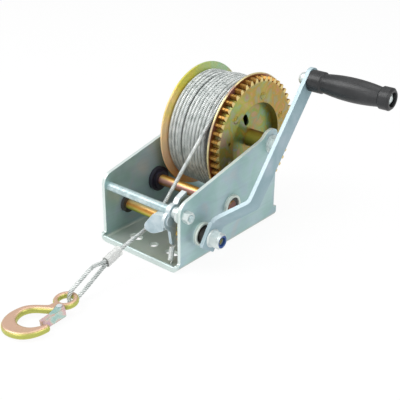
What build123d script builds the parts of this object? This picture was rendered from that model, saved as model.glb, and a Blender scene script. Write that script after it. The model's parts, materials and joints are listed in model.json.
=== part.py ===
from build123d import *
import os
from math import acos, asin, atan2, cos, degrees, dist, pi, radians, sin, sqrt, tan

os.makedirs("parts", exist_ok=True)

# Hand winch with a geared drum of wire rope. Millimetres, +Z up, underside of the base at zero.
# X runs along the shafts with the crank at +X. The rope leaves over the front, towards -Y.

# Sheet frame
frame_width = 118.0
sheet = 4.0
bend_radius = 4.0
front_height = 79.0
wall_front_margin = 8.0
wall_rear_margin = 12.2
base_front_step = 5.7
base_rear_step = 6.0
front_step_height = 9.0
rear_step_height = 15.0
front_corner_radius = 14.0
rear_corner_radius = 8.0
step_corner_radius = 1.8
axle_lug_radius = 18.0
axle_lug_rise = 13.8
lug_blend_radius = 20.0
ring_radius = 13.5
ring_hole_radius = 10.5
ring_height = 4.0
ring_outer_edge = 1.9
ring_inner_edge = 0.9
front_lip_height = 6.6
front_lip_depth = 3.6
front_lip_edge = 1.6
plan_corner_radius = 3.0

# Bolt holes in the base
bolt_hole_radius = 5.2
bolt_slot_length = 18.0
bolt_spacing_x = 56.0
bolt_spacing_y = 131.0

# Gear train
module = 3.0
pressure_angle = radians(20)
addendum = 0.8 * module
dedendum = 1.0 * module
backlash = 0.45
drum_teeth = 48
wheel_teeth = 24
pinion_teeth = 12
drum_direction = radians(36.0)
crank_direction = radians(195.4)
intermediate_height = 48.5
ring_gear_thickness = 9.3
gear_groove = 0.6
gear_groove_depth = 1.0
wheel_thickness = 7.0
wheel_hub_radius = 11.0
drum_pinion_length = 9.6
crank_pinion_length = 8.8
hub_space = 7.8

# Shafts, bushes and running gaps
running_gap = 0.05
face_gap = 0.3
intermediate_radius = 6.5
crank_radius = 6.0
bush_wall = 2.0
bush_lip = 1.4
bush_lip_radius = 12.5
bush_recess = 2.6
rear_bush_radius = 15.0
rear_bush_thickness = 5.0
rear_collar_radius = 11.0
rear_collar_thickness = 3.4
front_bush_radius = 10.5
front_bush_thickness = 4.5
shaft_end = 2.5
clip_thickness = 1.4
clip_width = 3.5

# Drum
axle_radius = 6.0
sleeve_radius = 10.3
left_space = 13.75
flange_sheet = 2.5
flange_over_teeth = 3.0
left_flange_flare = 2.0
flare_start_radius = 56.0
barrel_radius = 48.0
barrel_wall = 2.0
ring_gear_bore = 44.0
rivet_circle = 52.0
rivet_count = 6
rivet_first = radians(19.0)
rivet_radius = 3.0
rivet_head_radius = 4.5
rivet_head_height = 1.8
keeper_hole_radius = 2.5
keeper_hole_circle = 51.4
keeper_hole_angle = radians(170.6)
rope_slot_circle = 25.5
rope_slot_angle = radians(110.0)
rope_slot_width = 8.0
rope_slot_length = 15.0
rope_slot_turn = 115.0

# Wire rope
rope_diameter = 4.8
core_radius = 63.9
rope_pitch = 5.6
last_turn_quarters = 4
exit_lane_inset = 8.7
rope_bend_offset = -10.7
rope_bend_y = -70.4
rope_bend_height = 40.7
ferrule_offset = -4.7
ferrule_top_y = -133.0
ferrule_top_height = 28.67
ferrule_length = 20.0
ferrule_height = 11.0
ferrule_width = 7.4
loop_shoulder_reach = 38.0
loop_shoulder_height = 23.6
loop_neck_reach = 22.0
loop_neck_height = 21.0
sleeve_wall = 0.7
sleeve_overhang = 2.0

# Tie rod and pawl
tie_rod_y = -78.6
tie_rod_height = 65.3
tie_rod_radius = 5.0
tie_rod_end_radius = 4.0
tie_nut_flats = 12.0
tie_nut_thickness = 8.0
tie_head_radius = 6.5
tie_head_height = 2.4
pawl_thickness = 4.0
pawl_hub_radius = 9.0
pawl_hub_length = 5.5
pawl_cheek_radius = 10.2
pawl_cheek_place = (-5.2, -8.4)
pawl_boss_radius = 6.5
pawl_boss_length = 1.4
pawl_nose_x = 11.4
pawl_lever_front = -11.0
pawl_lever_middle = -7.0
pawl_lever_back = -3.8
pawl_lever_slope = 52.0
thumb_tab_width = 6.4
spacer_radius = 6.5
spacer_flange_radius = 10.0
spacer_flange_thickness = 3.2
clip_ring_radius = 6.2
ratchet_teeth = 12
ratchet_radius = 19.0
ratchet_tooth_depth = 4.0
ratchet_thickness = 5.5
spring_radius = 2.6
spring_wire = 1.1
spring_pitch = 1.56
spring_half_turns = 20
spring_lean = 0.2

# Fasteners
axle_flats = 18.0
axle_head_height = 7.5
axle_nut_thickness = 10.0
washer_radius = 11.0
washer_thickness = 2.5
axle_thread_end = 3.0

# Crank
crank_length = 199.0
crank_angle = radians(50.5)
arm_width = 20.4
arm_thickness = 4.6
arm_standoff = 11.5
arm_joggle = 31.3
joggle_start = 19.5
joggle_end = 50.3
arm_foot_start = -14.2
arm_foot_end = 15.5
arm_foot_width = 23.2
arm_foot_turn = 5.7
arm_bend_radius = 9.0
arm_end_margin = 14.0
shaft_flats = 10.0
thread_radius = 5.0
collar_radius = 8.5
nut_flats = 18.0
nut_turn = 22.0
nut_flange_radius = 10.6
nut_flange_height = 1.5
nut_hex_height = 9.3
nut_collar_height = 3.0
nut_collar_radius = 8.3
nylon_radius = 7.1
nylon_length = 3.2
thread_inset = 4.0

# Grip
grip_length = 96.8
grip_end_radius = 11.9
grip_neck_radius = 10.4
grip_swell_radius = 13.0
grip_tail_radius = 10.2
grip_collar_radius = 12.0
grip_inner_collar = 17.0
grip_outer_collar = 13.0
grip_recess_radius = 7.8
grip_recess_depth = 9.0
grip_bolt_radius = 4.0
grip_head_radius = 7.2
grip_head_height = 10.5
grip_dome_height = 6.0
grip_nut_flats = 11.0
grip_nut_thickness = 5.6

# Hook
eye_offset = 1.8
eye_y = -212.5
eye_height = 9.4
eye_radius = 13.0
eye_hole_radius = 7.0
eye_thickness = 7.0
hook_thickness = 7.8
hook_heading = radians(-104.5)
hook_tilt = radians(4.0)
hook_edge = 3.2
eye_edge = 2.8
latch_pivot = (12.4, 11.5)
latch_sheet = 1.0
latch_gap = 0.3
latch_boss_radius = 3.8
latch_pin_radius = 2.0
latch_pin_head = 2.7
latch_pin_head_height = 1.2

# Places worked out from the sizes above
wall_out = frame_width / 2
wall_in = wall_out - sheet
rope_radius = rope_diameter / 2


def pitch_radius(teeth):
    return module * teeth / 2


def away(centre, distance, direction):
    return (centre[0] + distance * cos(direction), centre[1] + distance * sin(direction))


intermediate_axis = (0.0, intermediate_height)
drum_axis = away(intermediate_axis, pitch_radius(drum_teeth) + pitch_radius(pinion_teeth), drum_direction)
crank_axis = away(intermediate_axis, pitch_radius(wheel_teeth) + pitch_radius(pinion_teeth), crank_direction)
tie_axis = (tie_rod_y, tie_rod_height)

wall_front = tie_rod_y - wall_front_margin
wall_rear = drum_axis[0] + wall_rear_margin
base_front = wall_front - base_front_step
base_rear = wall_rear + base_rear_step

crank_pinion_x1 = wall_in - bush_lip - face_gap
crank_pinion_x0 = crank_pinion_x1 - crank_pinion_length
ratchet_x1 = crank_pinion_x0 - 1.0
ratchet_x0 = ratchet_x1 - ratchet_thickness
wheel_x1 = crank_pinion_x1 - 1.3
wheel_x0 = wheel_x1 - wheel_thickness
ring_gear_x1 = wheel_x0 - hub_space
ring_gear_x0 = ring_gear_x1 - ring_gear_thickness
right_flange_x = ring_gear_x0 - flange_sheet
left_flange_x = left_space - wall_in
flange_radius = pitch_radius(drum_teeth) + addendum + flange_over_teeth
ring_outer = wall_out + ring_height
arm_x0 = wall_out + arm_standoff
arm_x1 = arm_x0 + arm_thickness
upper_arm_x0 = arm_x0 + arm_joggle
upper_arm_x1 = upper_arm_x0 + arm_thickness


# Helpers

def save(piece, name):
    piece.part.label = name
    export_step(piece.part, f"parts/{name}.step")


def face_plane(x, centre):
    """Plane across the shafts at x, with its origin on a shaft: local x is Y and local y is Z."""
    return Plane(origin=(x, centre[0], centre[1]), x_dir=(0, 1, 0), z_dir=(1, 0, 0))


def turned(centre, profile, mode=Mode.ADD):
    """Body of revolution about a shaft, from (x, radius) points."""
    plane = Plane(origin=(0, centre[0], centre[1]), x_dir=(1, 0, 0), z_dir=(0, -1, 0))
    with BuildSketch(plane) as half_section:
        with BuildLine():
            Polyline(*profile, close=True)
        make_face()
    return revolve(half_section.sketch, axis=Axis((0, centre[0], centre[1]), (1, 0, 0)), mode=mode)


def ring(x0, x1, inner, outer):
    return [(x0, inner), (x1, inner), (x1, outer), (x0, outer)]


def bored(centre, x0, x1, radius):
    """Round hole along X."""
    with BuildSketch(face_plane(x0, centre)) as opening:
        Circle(radius)
    extrude(opening.sketch, amount=x1 - x0, mode=Mode.SUBTRACT)


def hexagon(centre, x0, x1, flats, chamfer_side, turn=0):
    """Hexagon bar with its corners turned off at one end: +1 for the +X end, -1 for the -X end."""
    corner = flats / sqrt(3)
    edge = flats / 2 * 0.97
    slope = (corner - edge) * 0.6
    with BuildSketch(face_plane(x0, centre)) as bar:
        RegularPolygon(flats / 2, 6, major_radius=False, rotation=turn)
    if chamfer_side > 0:
        cone = [(x0, 0), (x1, 0), (x1, edge), (x1 - slope, corner), (x0, corner)]
    else:
        cone = [(x0, 0), (x1, 0), (x1, corner), (x0 + slope, corner), (x0, edge)]
    add(extrude(bar.sketch, amount=x1 - x0, mode=Mode.PRIVATE) & turned(centre, cone, Mode.PRIVATE))


def polar(radius, angle):
    return (radius * cos(angle), radius * sin(angle))


def toothed(centre, x0, x1, teeth, first_tooth):
    """Spur gear body with involute flanks, one tooth centred on the angle first_tooth."""
    reference = pitch_radius(teeth)
    base = reference * cos(pressure_angle)
    tip = reference + addendum
    root = reference - dedendum
    tooth_angle = (pi * module / 2 - backlash / 2) / (2 * reference)
    involute_at_pitch = tan(pressure_angle) - pressure_angle

    def half_angle(radius):
        roll = acos(min(1.0, base / radius))
        return tooth_angle + involute_at_pitch - (tan(roll) - roll)

    flank_start = max(root, base)
    radii = [flank_start, (flank_start + tip) / 2, tip]
    step = 2 * pi / teeth
    with BuildSketch(face_plane(x0, centre)) as teeth_outline:
        with BuildLine():
            for tooth in range(teeth):
                middle = first_tooth + tooth * step
                rising = [polar(radius, middle - half_angle(radius)) for radius in radii]
                falling = [polar(radius, middle + half_angle(radius)) for radius in reversed(radii)]
                foot = half_angle(flank_start)
                foot_in = polar(root, middle - foot)
                foot_out = polar(root, middle + foot)
                next_foot = polar(root, middle + step - foot)
                if root < base:
                    Line(foot_in, rising[0])
                ThreePointArc(*rising)
                Line(rising[-1], falling[0])
                ThreePointArc(*falling)
                if root < base:
                    Line(falling[-1], foot_out)
                Line(foot_out, next_foot)
        make_face()
    extrude(teeth_outline.sketch, amount=x1 - x0)


def biarc(start, start_tangent, end, end_tangent):
    """Two tangent arcs from one point and direction to another."""
    span = end - start
    both = start_tangent + end_tangent
    along = span.dot(both)
    spread = 2 * (1 - start_tangent.dot(end_tangent))
    reach = (-along + sqrt(along * along + spread * span.dot(span))) / spread
    first_control = start + start_tangent * reach
    second_control = end - end_tangent * reach
    joint = (first_control + second_control) * 0.5
    TangentArc(start, joint, tangent=start_tangent)
    TangentArc(joint, end, tangent=(second_control - first_control).normalized())


def helix(point_at, tangent_at, quarters):
    """Turns laid on biarcs of a quarter turn, with straight ends one tube diameter long."""
    for quarter in range(quarters):
        biarc(point_at(quarter), tangent_at(quarter), point_at(quarter + 1), tangent_at(quarter + 1))


def least_gap(route, diameter):
    """Smallest gap of a tube to itself, measured on points along its middle line."""
    samples = []
    travelled = 0.0
    for edge in route.edges():
        for step in range(8):
            samples.append((travelled + edge.length * step / 8, edge.position_at(step / 8)))
        travelled += edge.length
    least = travelled
    for first in range(len(samples)):
        for second in range(first + 1, len(samples)):
            if samples[second][0] - samples[first][0] > 3 * diameter:
                least = min(least, (samples[second][1] - samples[first][1]).length)
    return least - diameter


def bend_radii(points):
    """Largest bend at each corner that uses 45 parts in 100 of the shorter run beside it."""
    radii = []
    for before, corner, after in zip(points, points[1:], points[2:]):
        arriving = corner - before
        leaving = after - corner
        half_turn = radians(arriving.get_angle(leaving)) / 2
        radii.append(round(0.45 * min(arriving.length, leaving.length) / tan(half_turn), 2))
    return radii


def report_tube(name, piece, route, diameter):
    section = pi * diameter * diameter / 4
    route_length = sum(edge.length for edge in route.edges())
    print(f"{name}: length {route_length:.1f}, volume {piece.part.volume:.1f}, "
          f"section times length {section * route_length:.1f}")


# Sheet frame: a channel bent from one blank, cut to the side outline of its walls
with BuildPart() as winch_frame:
    channel_height = drum_axis[1] + axle_lug_radius
    with BuildSketch(Plane.XZ.offset(-base_rear)):
        with BuildLine():
            Polyline(
                (-wall_out, channel_height), (-wall_out, 0), (wall_out, 0), (wall_out, channel_height),
                (wall_in, channel_height), (wall_in, sheet), (-wall_in, sheet), (-wall_in, channel_height),
                close=True,
            )
        make_face()
        fillet(vertices().group_by(Axis.Y)[0], bend_radius + sheet)
        inner_corners = vertices().filter_by(lambda v: abs(v.Y - sheet) < 0.01 and abs(v.X) > wall_in - 0.01)
        fillet(inner_corners, bend_radius)
    extrude(amount=base_rear - base_front)

    # The top edge climbs to a rounded lug about the axle, blended in at its front
    top_angle = atan2(drum_axis[1] + axle_lug_rise - front_height, drum_axis[0] - wall_front)
    climb = Vector(cos(top_angle), sin(top_angle))
    square_up = Vector(-sin(top_angle), cos(top_angle))
    lug_centre = Vector(*drum_axis)
    blend_height = axle_lug_rise * cos(top_angle) + lug_blend_radius
    blend_back = sqrt((axle_lug_radius + lug_blend_radius) ** 2 - blend_height ** 2)
    blend_centre = lug_centre + square_up * blend_height - climb * blend_back
    blend_start = blend_centre - square_up * lug_blend_radius
    blend_way = (blend_centre - lug_centre).normalized()
    lug_start = lug_centre + blend_way * axle_lug_radius
    corner_inset = wall_rear_margin - rear_corner_radius
    corner_rise = sqrt((axle_lug_radius - rear_corner_radius) ** 2 - corner_inset ** 2)
    corner_centre = lug_centre + Vector(corner_inset, corner_rise)
    lug_end = lug_centre + (corner_centre - lug_centre).normalized() * axle_lug_radius
    with BuildSketch(Plane.YZ.offset(-wall_out - 1)):
        with BuildLine():
            Line((wall_front, front_height), blend_start)
            TangentArc(blend_start, lug_start, tangent=climb)
            TangentArc(lug_start, lug_end, tangent=(blend_way.Y, -blend_way.X))
            TangentArc((wall_rear, corner_centre.Y), lug_end, tangent=(0, 1))
            Polyline(
                (wall_rear, corner_centre.Y), (wall_rear, rear_step_height), (base_rear, rear_step_height),
                (base_rear, -1), (base_front, -1), (base_front, front_step_height),
                (wall_front, front_step_height), (wall_front, front_height),
            )
        make_face()
        steps = vertices().filter_by(
            lambda v: min(abs(v.Y - front_step_height), abs(v.Y - rear_step_height)) < 0.01
        )
        fillet(steps, step_corner_radius)
        fillet(vertices().filter_by(lambda v: abs(v.Y - front_height) < 0.01), front_corner_radius)
    extrude(amount=frame_width + 2, mode=Mode.INTERSECT)

    for axis in (intermediate_axis, crank_axis):
        with BuildSketch(face_plane(wall_out, axis)):
            Circle(ring_radius)
        extrude(amount=ring_height)
    rims = edges().filter_by(GeomType.CIRCLE).filter_by(lambda e: abs(e.center().X - ring_outer) < 0.01)
    fillet(rims, ring_outer_edge)

    for axis, radius in (
        (intermediate_axis, intermediate_radius + bush_wall),
        (crank_axis, crank_radius + bush_wall),
        (tie_axis, tie_rod_end_radius + running_gap),
        (drum_axis, axle_radius + running_gap),
    ):
        bored(axis, -wall_out - 1, ring_outer + 1, radius)
    for axis in (intermediate_axis, crank_axis):
        bored(axis, wall_in - 1, ring_outer + 1, ring_hole_radius)
    mouths = edges().filter_by(GeomType.CIRCLE).filter_by(
        lambda e: abs(e.center().X - ring_outer) < 0.01 and abs(e.radius - ring_hole_radius) < 0.01)
    fillet(mouths, ring_inner_edge)

    # A rolled lip along the front of the base runs round into the walls
    with BuildSketch(Plane.YZ.offset(-wall_in + 0.1)):
        with Locations((base_front + front_lip_depth / 2, (sheet / 2 + front_lip_height) / 2)):
            Rectangle(front_lip_depth, front_lip_height - sheet / 2)
        fillet(vertices().group_by(Axis.Y)[-1], front_lip_edge)
    extrude(amount=2 * (wall_in - 0.1))
    with BuildSketch(Plane.XY.offset(-1)):
        corner_x = wall_out - plan_corner_radius
        corner_y = base_front + plan_corner_radius
        with Locations((corner_x, corner_y), (-corner_x, corner_y)):
            Rectangle(2.2 * plan_corner_radius, 2.2 * plan_corner_radius)
            Circle(plan_corner_radius, mode=Mode.SUBTRACT)
        with Locations((0, corner_y + 2 * plan_corner_radius)):
            Rectangle(2 * frame_width, 4 * plan_corner_radius, mode=Mode.SUBTRACT)
        Rectangle(2 * corner_x, 4 * base_rear, mode=Mode.SUBTRACT)
    extrude(amount=channel_height + 2, mode=Mode.SUBTRACT)

    with BuildSketch(Plane.XY.offset(-1)):
        with GridLocations(bolt_spacing_x, bolt_spacing_y, 2, 2):
            SlotOverall(bolt_slot_length, 2 * bolt_hole_radius)
        with GridLocations(1, bolt_spacing_y, 1, 2):
            Circle(bolt_hole_radius)
    extrude(amount=sheet + 2, mode=Mode.SUBTRACT)
save(winch_frame, "winch_frame")

# Tie rod: shouldered between the walls, headed over on the left and threaded on the right
tie_thread_end = wall_out + tie_nut_thickness + 1.6
with BuildPart() as tie_rod:
    turned(tie_axis, [
        (-wall_out - tie_head_height, 0), (-wall_out - tie_head_height, tie_head_radius * 0.7),
        (-wall_out - tie_head_height * 0.4, tie_head_radius), (-wall_out, tie_head_radius),
        (-wall_out, tie_rod_end_radius), (-wall_in, tie_rod_end_radius), (-wall_in, tie_rod_radius),
        (wall_in, tie_rod_radius), (wall_in, tie_rod_end_radius), (tie_thread_end - 0.8, tie_rod_end_radius),
        (tie_thread_end, tie_rod_end_radius - 0.8), (tie_thread_end, 0),
    ])
save(tie_rod, "tie_rod")

with BuildPart() as tie_rod_nut:
    hexagon(tie_axis, wall_out, wall_out + tie_nut_thickness, tie_nut_flats, 1)
    bored(tie_axis, wall_out - 1, tie_thread_end, tie_rod_end_radius + running_gap)
save(tie_rod_nut, "tie_rod_nut")

# Axle: a long bolt that clamps a sleeve between the walls
axle_left = -wall_out - washer_thickness - axle_nut_thickness - axle_thread_end
axle_head_x = wall_out + washer_thickness
with BuildPart() as drum_axle:
    hexagon(drum_axis, axle_head_x, axle_head_x + axle_head_height, axle_flats, 1)
    turned(drum_axis, [(axle_left, 0), (axle_left, axle_radius - 1), (axle_left + 1, axle_radius),
                       (axle_head_x, axle_radius), (axle_head_x, 0)])
save(drum_axle, "drum_axle")

with BuildPart() as axle_nut:
    nut_x = -wall_out - washer_thickness
    hexagon(drum_axis, nut_x - axle_nut_thickness, nut_x, axle_flats, -1)
    bored(drum_axis, axle_left, nut_x + 1, axle_radius + running_gap)
save(axle_nut, "axle_nut")

with BuildPart() as axle_washers:
    for x0 in (-wall_out - washer_thickness, wall_out):
        turned(drum_axis, ring(x0, x0 + washer_thickness, axle_radius + running_gap, washer_radius))
save(axle_washers, "axle_washers")

with BuildPart() as axle_sleeve:
    turned(drum_axis, ring(-wall_in, wall_in, axle_radius + running_gap, sleeve_radius))
save(axle_sleeve, "axle_sleeve")

# Drum: barrel, two pressed flanges, ring gear and its rivets
sleeve_bore = sleeve_radius + running_gap
barrel_bore = barrel_radius - barrel_wall
with BuildPart() as drum_barrel:
    turned(drum_axis, ring(left_flange_x, right_flange_x, barrel_bore, barrel_radius))
save(drum_barrel, "drum_barrel")

left_rim_radius = flange_radius - 0.6
with BuildPart() as drum_left_flange:
    turned(drum_axis, [
        (left_flange_x, sleeve_bore), (left_flange_x, flare_start_radius),
        (left_flange_x - left_flange_flare, left_rim_radius),
        (left_flange_x - left_flange_flare - flange_sheet, left_rim_radius),
        (left_flange_x - flange_sheet, flare_start_radius), (left_flange_x - flange_sheet, sleeve_bore),
    ])
    fillet(edges().filter_by(GeomType.CIRCLE).filter_by(lambda e: e.radius > left_rim_radius - 0.1), 1.0)
save(drum_left_flange, "drum_left_flange")

with BuildPart() as drum_right_flange:
    turned(drum_axis, ring(right_flange_x, ring_gear_x0, sleeve_bore, flange_radius))
    with BuildSketch(face_plane(right_flange_x, drum_axis)):
        with Locations(polar(rope_slot_circle, rope_slot_angle)):
            SlotOverall(rope_slot_length, rope_slot_width, rotation=rope_slot_turn)
        with Locations(polar(keeper_hole_circle, keeper_hole_angle)):
            Circle(keeper_hole_radius)
        with PolarLocations(rivet_circle, rivet_count, degrees(rivet_first)):
            Circle(rivet_radius + running_gap)
    extrude(amount=flange_sheet, mode=Mode.SUBTRACT)
    fillet(edges().filter_by(GeomType.CIRCLE).filter_by(lambda e: e.radius > flange_radius - 0.1), 0.8)
save(drum_right_flange, "drum_right_flange")

# The ring gear is two plates with a groove between them
# It has a gap, and its pinion a tooth, on the line between their shafts
gear_middle = (ring_gear_x0 + ring_gear_x1) / 2
with BuildPart() as drum_gear:
    first_tooth = drum_direction + pi + pi / drum_teeth
    toothed(drum_axis, ring_gear_x0, gear_middle - gear_groove / 2, drum_teeth, first_tooth)
    toothed(drum_axis, gear_middle + gear_groove / 2, ring_gear_x1, drum_teeth, first_tooth)
    groove_floor = pitch_radius(drum_teeth) - dedendum - gear_groove_depth
    turned(drum_axis, ring(gear_middle - gear_groove / 2, gear_middle + gear_groove / 2,
                           ring_gear_bore - 1, groove_floor))
    bored(drum_axis, ring_gear_x0 - 1, ring_gear_x1 + 1, ring_gear_bore)
    with BuildSketch(face_plane(ring_gear_x0 - 1, drum_axis)):
        with PolarLocations(rivet_circle, rivet_count, degrees(rivet_first)):
            Circle(rivet_radius + running_gap)
        with Locations(polar(keeper_hole_circle, keeper_hole_angle)):
            Circle(keeper_hole_radius)
    extrude(amount=ring_gear_thickness + 2, mode=Mode.SUBTRACT)
save(drum_gear, "drum_gear")

with BuildPart() as gear_rivets:
    for number in range(rivet_count):
        centre = away(drum_axis, rivet_circle, rivet_first + number * 2 * pi / rivet_count)
        turned(centre, [
            (right_flange_x, 0), (right_flange_x, rivet_radius), (ring_gear_x1, rivet_radius),
            (ring_gear_x1, rivet_head_radius),
            (ring_gear_x1 + rivet_head_height * 0.5, rivet_head_radius * 0.85),
            (ring_gear_x1 + rivet_head_height, rivet_head_radius * 0.4),
            (ring_gear_x1 + rivet_head_height, 0),
        ])
save(gear_rivets, "gear_rivets")

# Rope on the drum: a plain core for the inner layers, and the outer layer as one tube
rope_path_radius = core_radius + face_gap + rope_radius
exit_lane = right_flange_x - exit_lane_inset
rope_bend = Vector(exit_lane + rope_bend_offset, rope_bend_y, rope_bend_height)
bend_climb = atan2(drum_axis[1] - rope_bend_height, drum_axis[0] - rope_bend_y)
rope_drop = bend_climb + asin(rope_path_radius / dist(drum_axis, (rope_bend_y, rope_bend_height)))
exit_angle = pi / 2 + rope_drop
drum_turn_start = left_flange_x + 0.5 + rope_radius
drum_turn_quarters = int((exit_lane - rope_pitch - drum_turn_start) / (rope_pitch / 4))
first_drum_angle = exit_angle - pi

with BuildPart() as rope_core:
    turned(drum_axis, ring(left_flange_x + face_gap, right_flange_x - face_gap,
                           barrel_radius + running_gap, core_radius))
save(rope_core, "rope_core")


def lay_turns(start_x, start_angle, advance):
    """Point and direction functions of a helix that goes back over the top of the drum."""
    def point_at(quarter):
        angle = start_angle - quarter * pi / 2
        y, z = away(drum_axis, rope_path_radius, angle)
        return Vector(start_x + advance * quarter / 4, y, z)

    def tangent_at(quarter):
        angle = start_angle - quarter * pi / 2
        run = rope_path_radius * pi / 2
        return Vector(advance / 4, run * sin(angle), -run * cos(angle)).normalized()

    return point_at, tangent_at


with BuildPart() as rope_winding:
    point_at, tangent_at = lay_turns(drum_turn_start, first_drum_angle, rope_pitch)
    with BuildLine() as winding_route:
        Line(point_at(0) - tangent_at(0) * rope_diameter, point_at(0))
        helix(point_at, tangent_at, drum_turn_quarters)
        last = drum_turn_quarters
        Line(point_at(last), point_at(last) + tangent_at(last) * rope_diameter)
    with BuildSketch(Plane(origin=winding_route.line @ 0, z_dir=winding_route.line % 0)):
        Circle(rope_radius)
    sweep(path=winding_route.line)
save(rope_winding, "rope_winding")
print(f"rope_winding: least gap to itself {least_gap(winding_route, rope_diameter):.2f}")
report_tube("rope_winding", rope_winding, winding_route, rope_diameter)

with BuildPart() as rope_last_turns:
    point_at, tangent_at = lay_turns(exit_lane, exit_angle, rope_pitch)
    with BuildLine() as last_route:
        leaving = (rope_bend - point_at(0)).normalized()
        rope_start = point_at(0) + leaving * rope_diameter
        Line(rope_start, point_at(0))
        biarc(point_at(0), leaving * -1, point_at(1), tangent_at(1))
        for quarter in range(1, last_turn_quarters):
            biarc(point_at(quarter), tangent_at(quarter), point_at(quarter + 1), tangent_at(quarter + 1))
        last = last_turn_quarters
        Line(point_at(last), point_at(last) + tangent_at(last) * rope_diameter)
    with BuildSketch(Plane(origin=last_route.line @ 0, z_dir=last_route.line % 0)):
        Circle(rope_radius)
    sweep(path=last_route.line)
save(rope_last_turns, "rope_last_turns")
print(f"rope_last_turns: least gap to itself {least_gap(last_route, rope_diameter):.2f}")
report_tube("rope_last_turns", rope_last_turns, last_route, rope_diameter)

# Free rope: pulled straight off the drum, under the tie rod, then down to the ferrule
ferrule_top = Vector(exit_lane + ferrule_offset, ferrule_top_y, ferrule_top_height)
with BuildPart() as rope_free:
    free_points = [rope_start, rope_bend, ferrule_top]
    free_radii = bend_radii(free_points)
    with BuildLine() as free_route:
        FilletPolyline(*free_points, radius=free_radii)
    with BuildSketch(Plane(origin=free_route.line @ 0, z_dir=free_route.line % 0)):
        Circle(rope_radius)
    sweep(path=free_route.line)
save(rope_free, "rope_free")
print("rope_free: bend radii", free_radii)
report_tube("rope_free", rope_free, free_route, rope_diameter)

# Ferrule: an oval crimp across the rope and its returning tail, in a clear sleeve
ferrule_along = (free_points[2] - free_points[1]).normalized()
ferrule_end = ferrule_top + ferrule_along * ferrule_length
ferrule_side = Vector(0, 0, 1).cross(ferrule_along).normalized()
ferrule_plane = Plane(origin=ferrule_top, x_dir=ferrule_side, z_dir=ferrule_along)
with BuildPart() as ferrule:
    with BuildSketch(ferrule_plane):
        SlotOverall(ferrule_height, ferrule_width, rotation=90)
    extrude(amount=ferrule_length)
save(ferrule, "ferrule")

with BuildPart() as ferrule_sleeve:
    with BuildSketch(ferrule_plane.offset(-sleeve_overhang)):
        SlotOverall(ferrule_height + 2 * (sleeve_wall + running_gap),
                    ferrule_width + 2 * (sleeve_wall + running_gap), rotation=90)
        SlotOverall(ferrule_height + 2 * running_gap, ferrule_width + 2 * running_gap,
                    rotation=90, mode=Mode.SUBTRACT)
    extrude(amount=ferrule_length + sleeve_overhang)
save(ferrule_sleeve, "ferrule_sleeve")

# Rope loop: in an upright plane from the ferrule, over, through and under the hook's eye
eye_x = exit_lane + eye_offset
eye_centre = Vector(eye_x, eye_y, eye_height)
loop_level = Vector(ferrule_end.X - eye_x, ferrule_end.Y - eye_y, 0)
loop_reach = loop_level.length
loop_out = loop_level.normalized()


def loop_point(reach, height):
    return Vector(eye_x, eye_y, height) + loop_out * reach


leg_offset = rope_radius + 0.1
leg_up = ferrule_along.cross(ferrule_side)
eye_clear = eye_thickness / 2 + rope_radius + face_gap + 0.35
bight_reach = eye_hole_radius - rope_radius - face_gap - 0.2
upper_leg = ferrule_end + leg_up * leg_offset
lower_leg = ferrule_end - leg_up * leg_offset
loop_points = [
    upper_leg,
    upper_leg + ferrule_along * rope_diameter,
    loop_point(loop_shoulder_reach, loop_shoulder_height),
    loop_point(loop_neck_reach, loop_neck_height),
    loop_point(bight_reach, eye_height + eye_clear),
    loop_point(bight_reach, eye_height - eye_clear),
    loop_point(eye_radius + 2.0, eye_height - eye_clear),
    lower_leg + ferrule_along * rope_diameter,
    lower_leg,
]
loop_radii = bend_radii(loop_points)
with BuildPart() as rope_loop:
    with BuildLine() as loop_route:
        FilletPolyline(*loop_points, radius=loop_radii)
    with BuildSketch(Plane(origin=loop_route.line @ 0, z_dir=loop_route.line % 0)):
        Circle(rope_radius)
    sweep(path=loop_route.line)
save(rope_loop, "rope_loop")
print("rope_loop: bend radii", loop_radii)
report_tube("rope_loop", rope_loop, loop_route, rope_diameter)

# Plastic bushes in the walls


def left_bush(name, axis, shaft_radius, lip_steps):
    with BuildPart() as bush:
        bore = shaft_radius + running_gap
        body = shaft_radius + bush_wall - face_gap
        profile = [(-wall_out - 0.4, bore), (-wall_out - 0.4, body), (-wall_in, body)]
        x = -wall_in
        for radius, thickness in lip_steps:
            profile.append((x, radius))
            x += thickness
            profile.append((x, radius))
        profile.append((x, bore))
        turned(axis, profile)
    save(bush, name)


bush_end = ring_outer - bush_recess


def right_bush(name, axis, shaft_radius):
    with BuildPart() as bush:
        body = ring_hole_radius - face_gap
        bore = shaft_radius + running_gap
        turned(axis, [
            (wall_in - bush_lip, bore), (bush_end, bore), (bush_end, body), (wall_in, body),
            (wall_in, bush_lip_radius), (wall_in - bush_lip, bush_lip_radius),
        ])
    save(bush, name)


left_bush("intermediate_bush_left", intermediate_axis, intermediate_radius,
          [(rear_bush_radius, rear_bush_thickness), (rear_collar_radius, rear_collar_thickness)])
left_bush("crank_bush_left", crank_axis, crank_radius, [(front_bush_radius, front_bush_thickness)])
right_bush("intermediate_bush_right", intermediate_axis, intermediate_radius)
right_bush("crank_bush_right", crank_axis, crank_radius)

# Intermediate shaft: pinion for the drum, wheel driven by the crank
clip_x0 = -wall_out - 0.4 - face_gap - clip_thickness
with BuildPart() as intermediate_shaft:
    left_end = clip_x0 - shaft_end
    right_end = bush_end + 1.0
    turned(intermediate_axis, [
        (left_end, 0), (left_end, intermediate_radius - 1), (left_end + 1, intermediate_radius),
        (right_end - 1, intermediate_radius), (right_end, intermediate_radius - 1), (right_end, 0),
    ])
save(intermediate_shaft, "intermediate_shaft")

drum_pinion_x0 = ring_gear_x0 + 0.4
drum_pinion_x1 = drum_pinion_x0 + drum_pinion_length
with BuildPart() as intermediate_pinion:
    toothed(intermediate_axis, drum_pinion_x0, drum_pinion_x1, pinion_teeth, drum_direction)
    bored(intermediate_axis, drum_pinion_x0 - 1, drum_pinion_x1 + 1, intermediate_radius + running_gap / 2)
save(intermediate_pinion, "intermediate_pinion")

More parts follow.
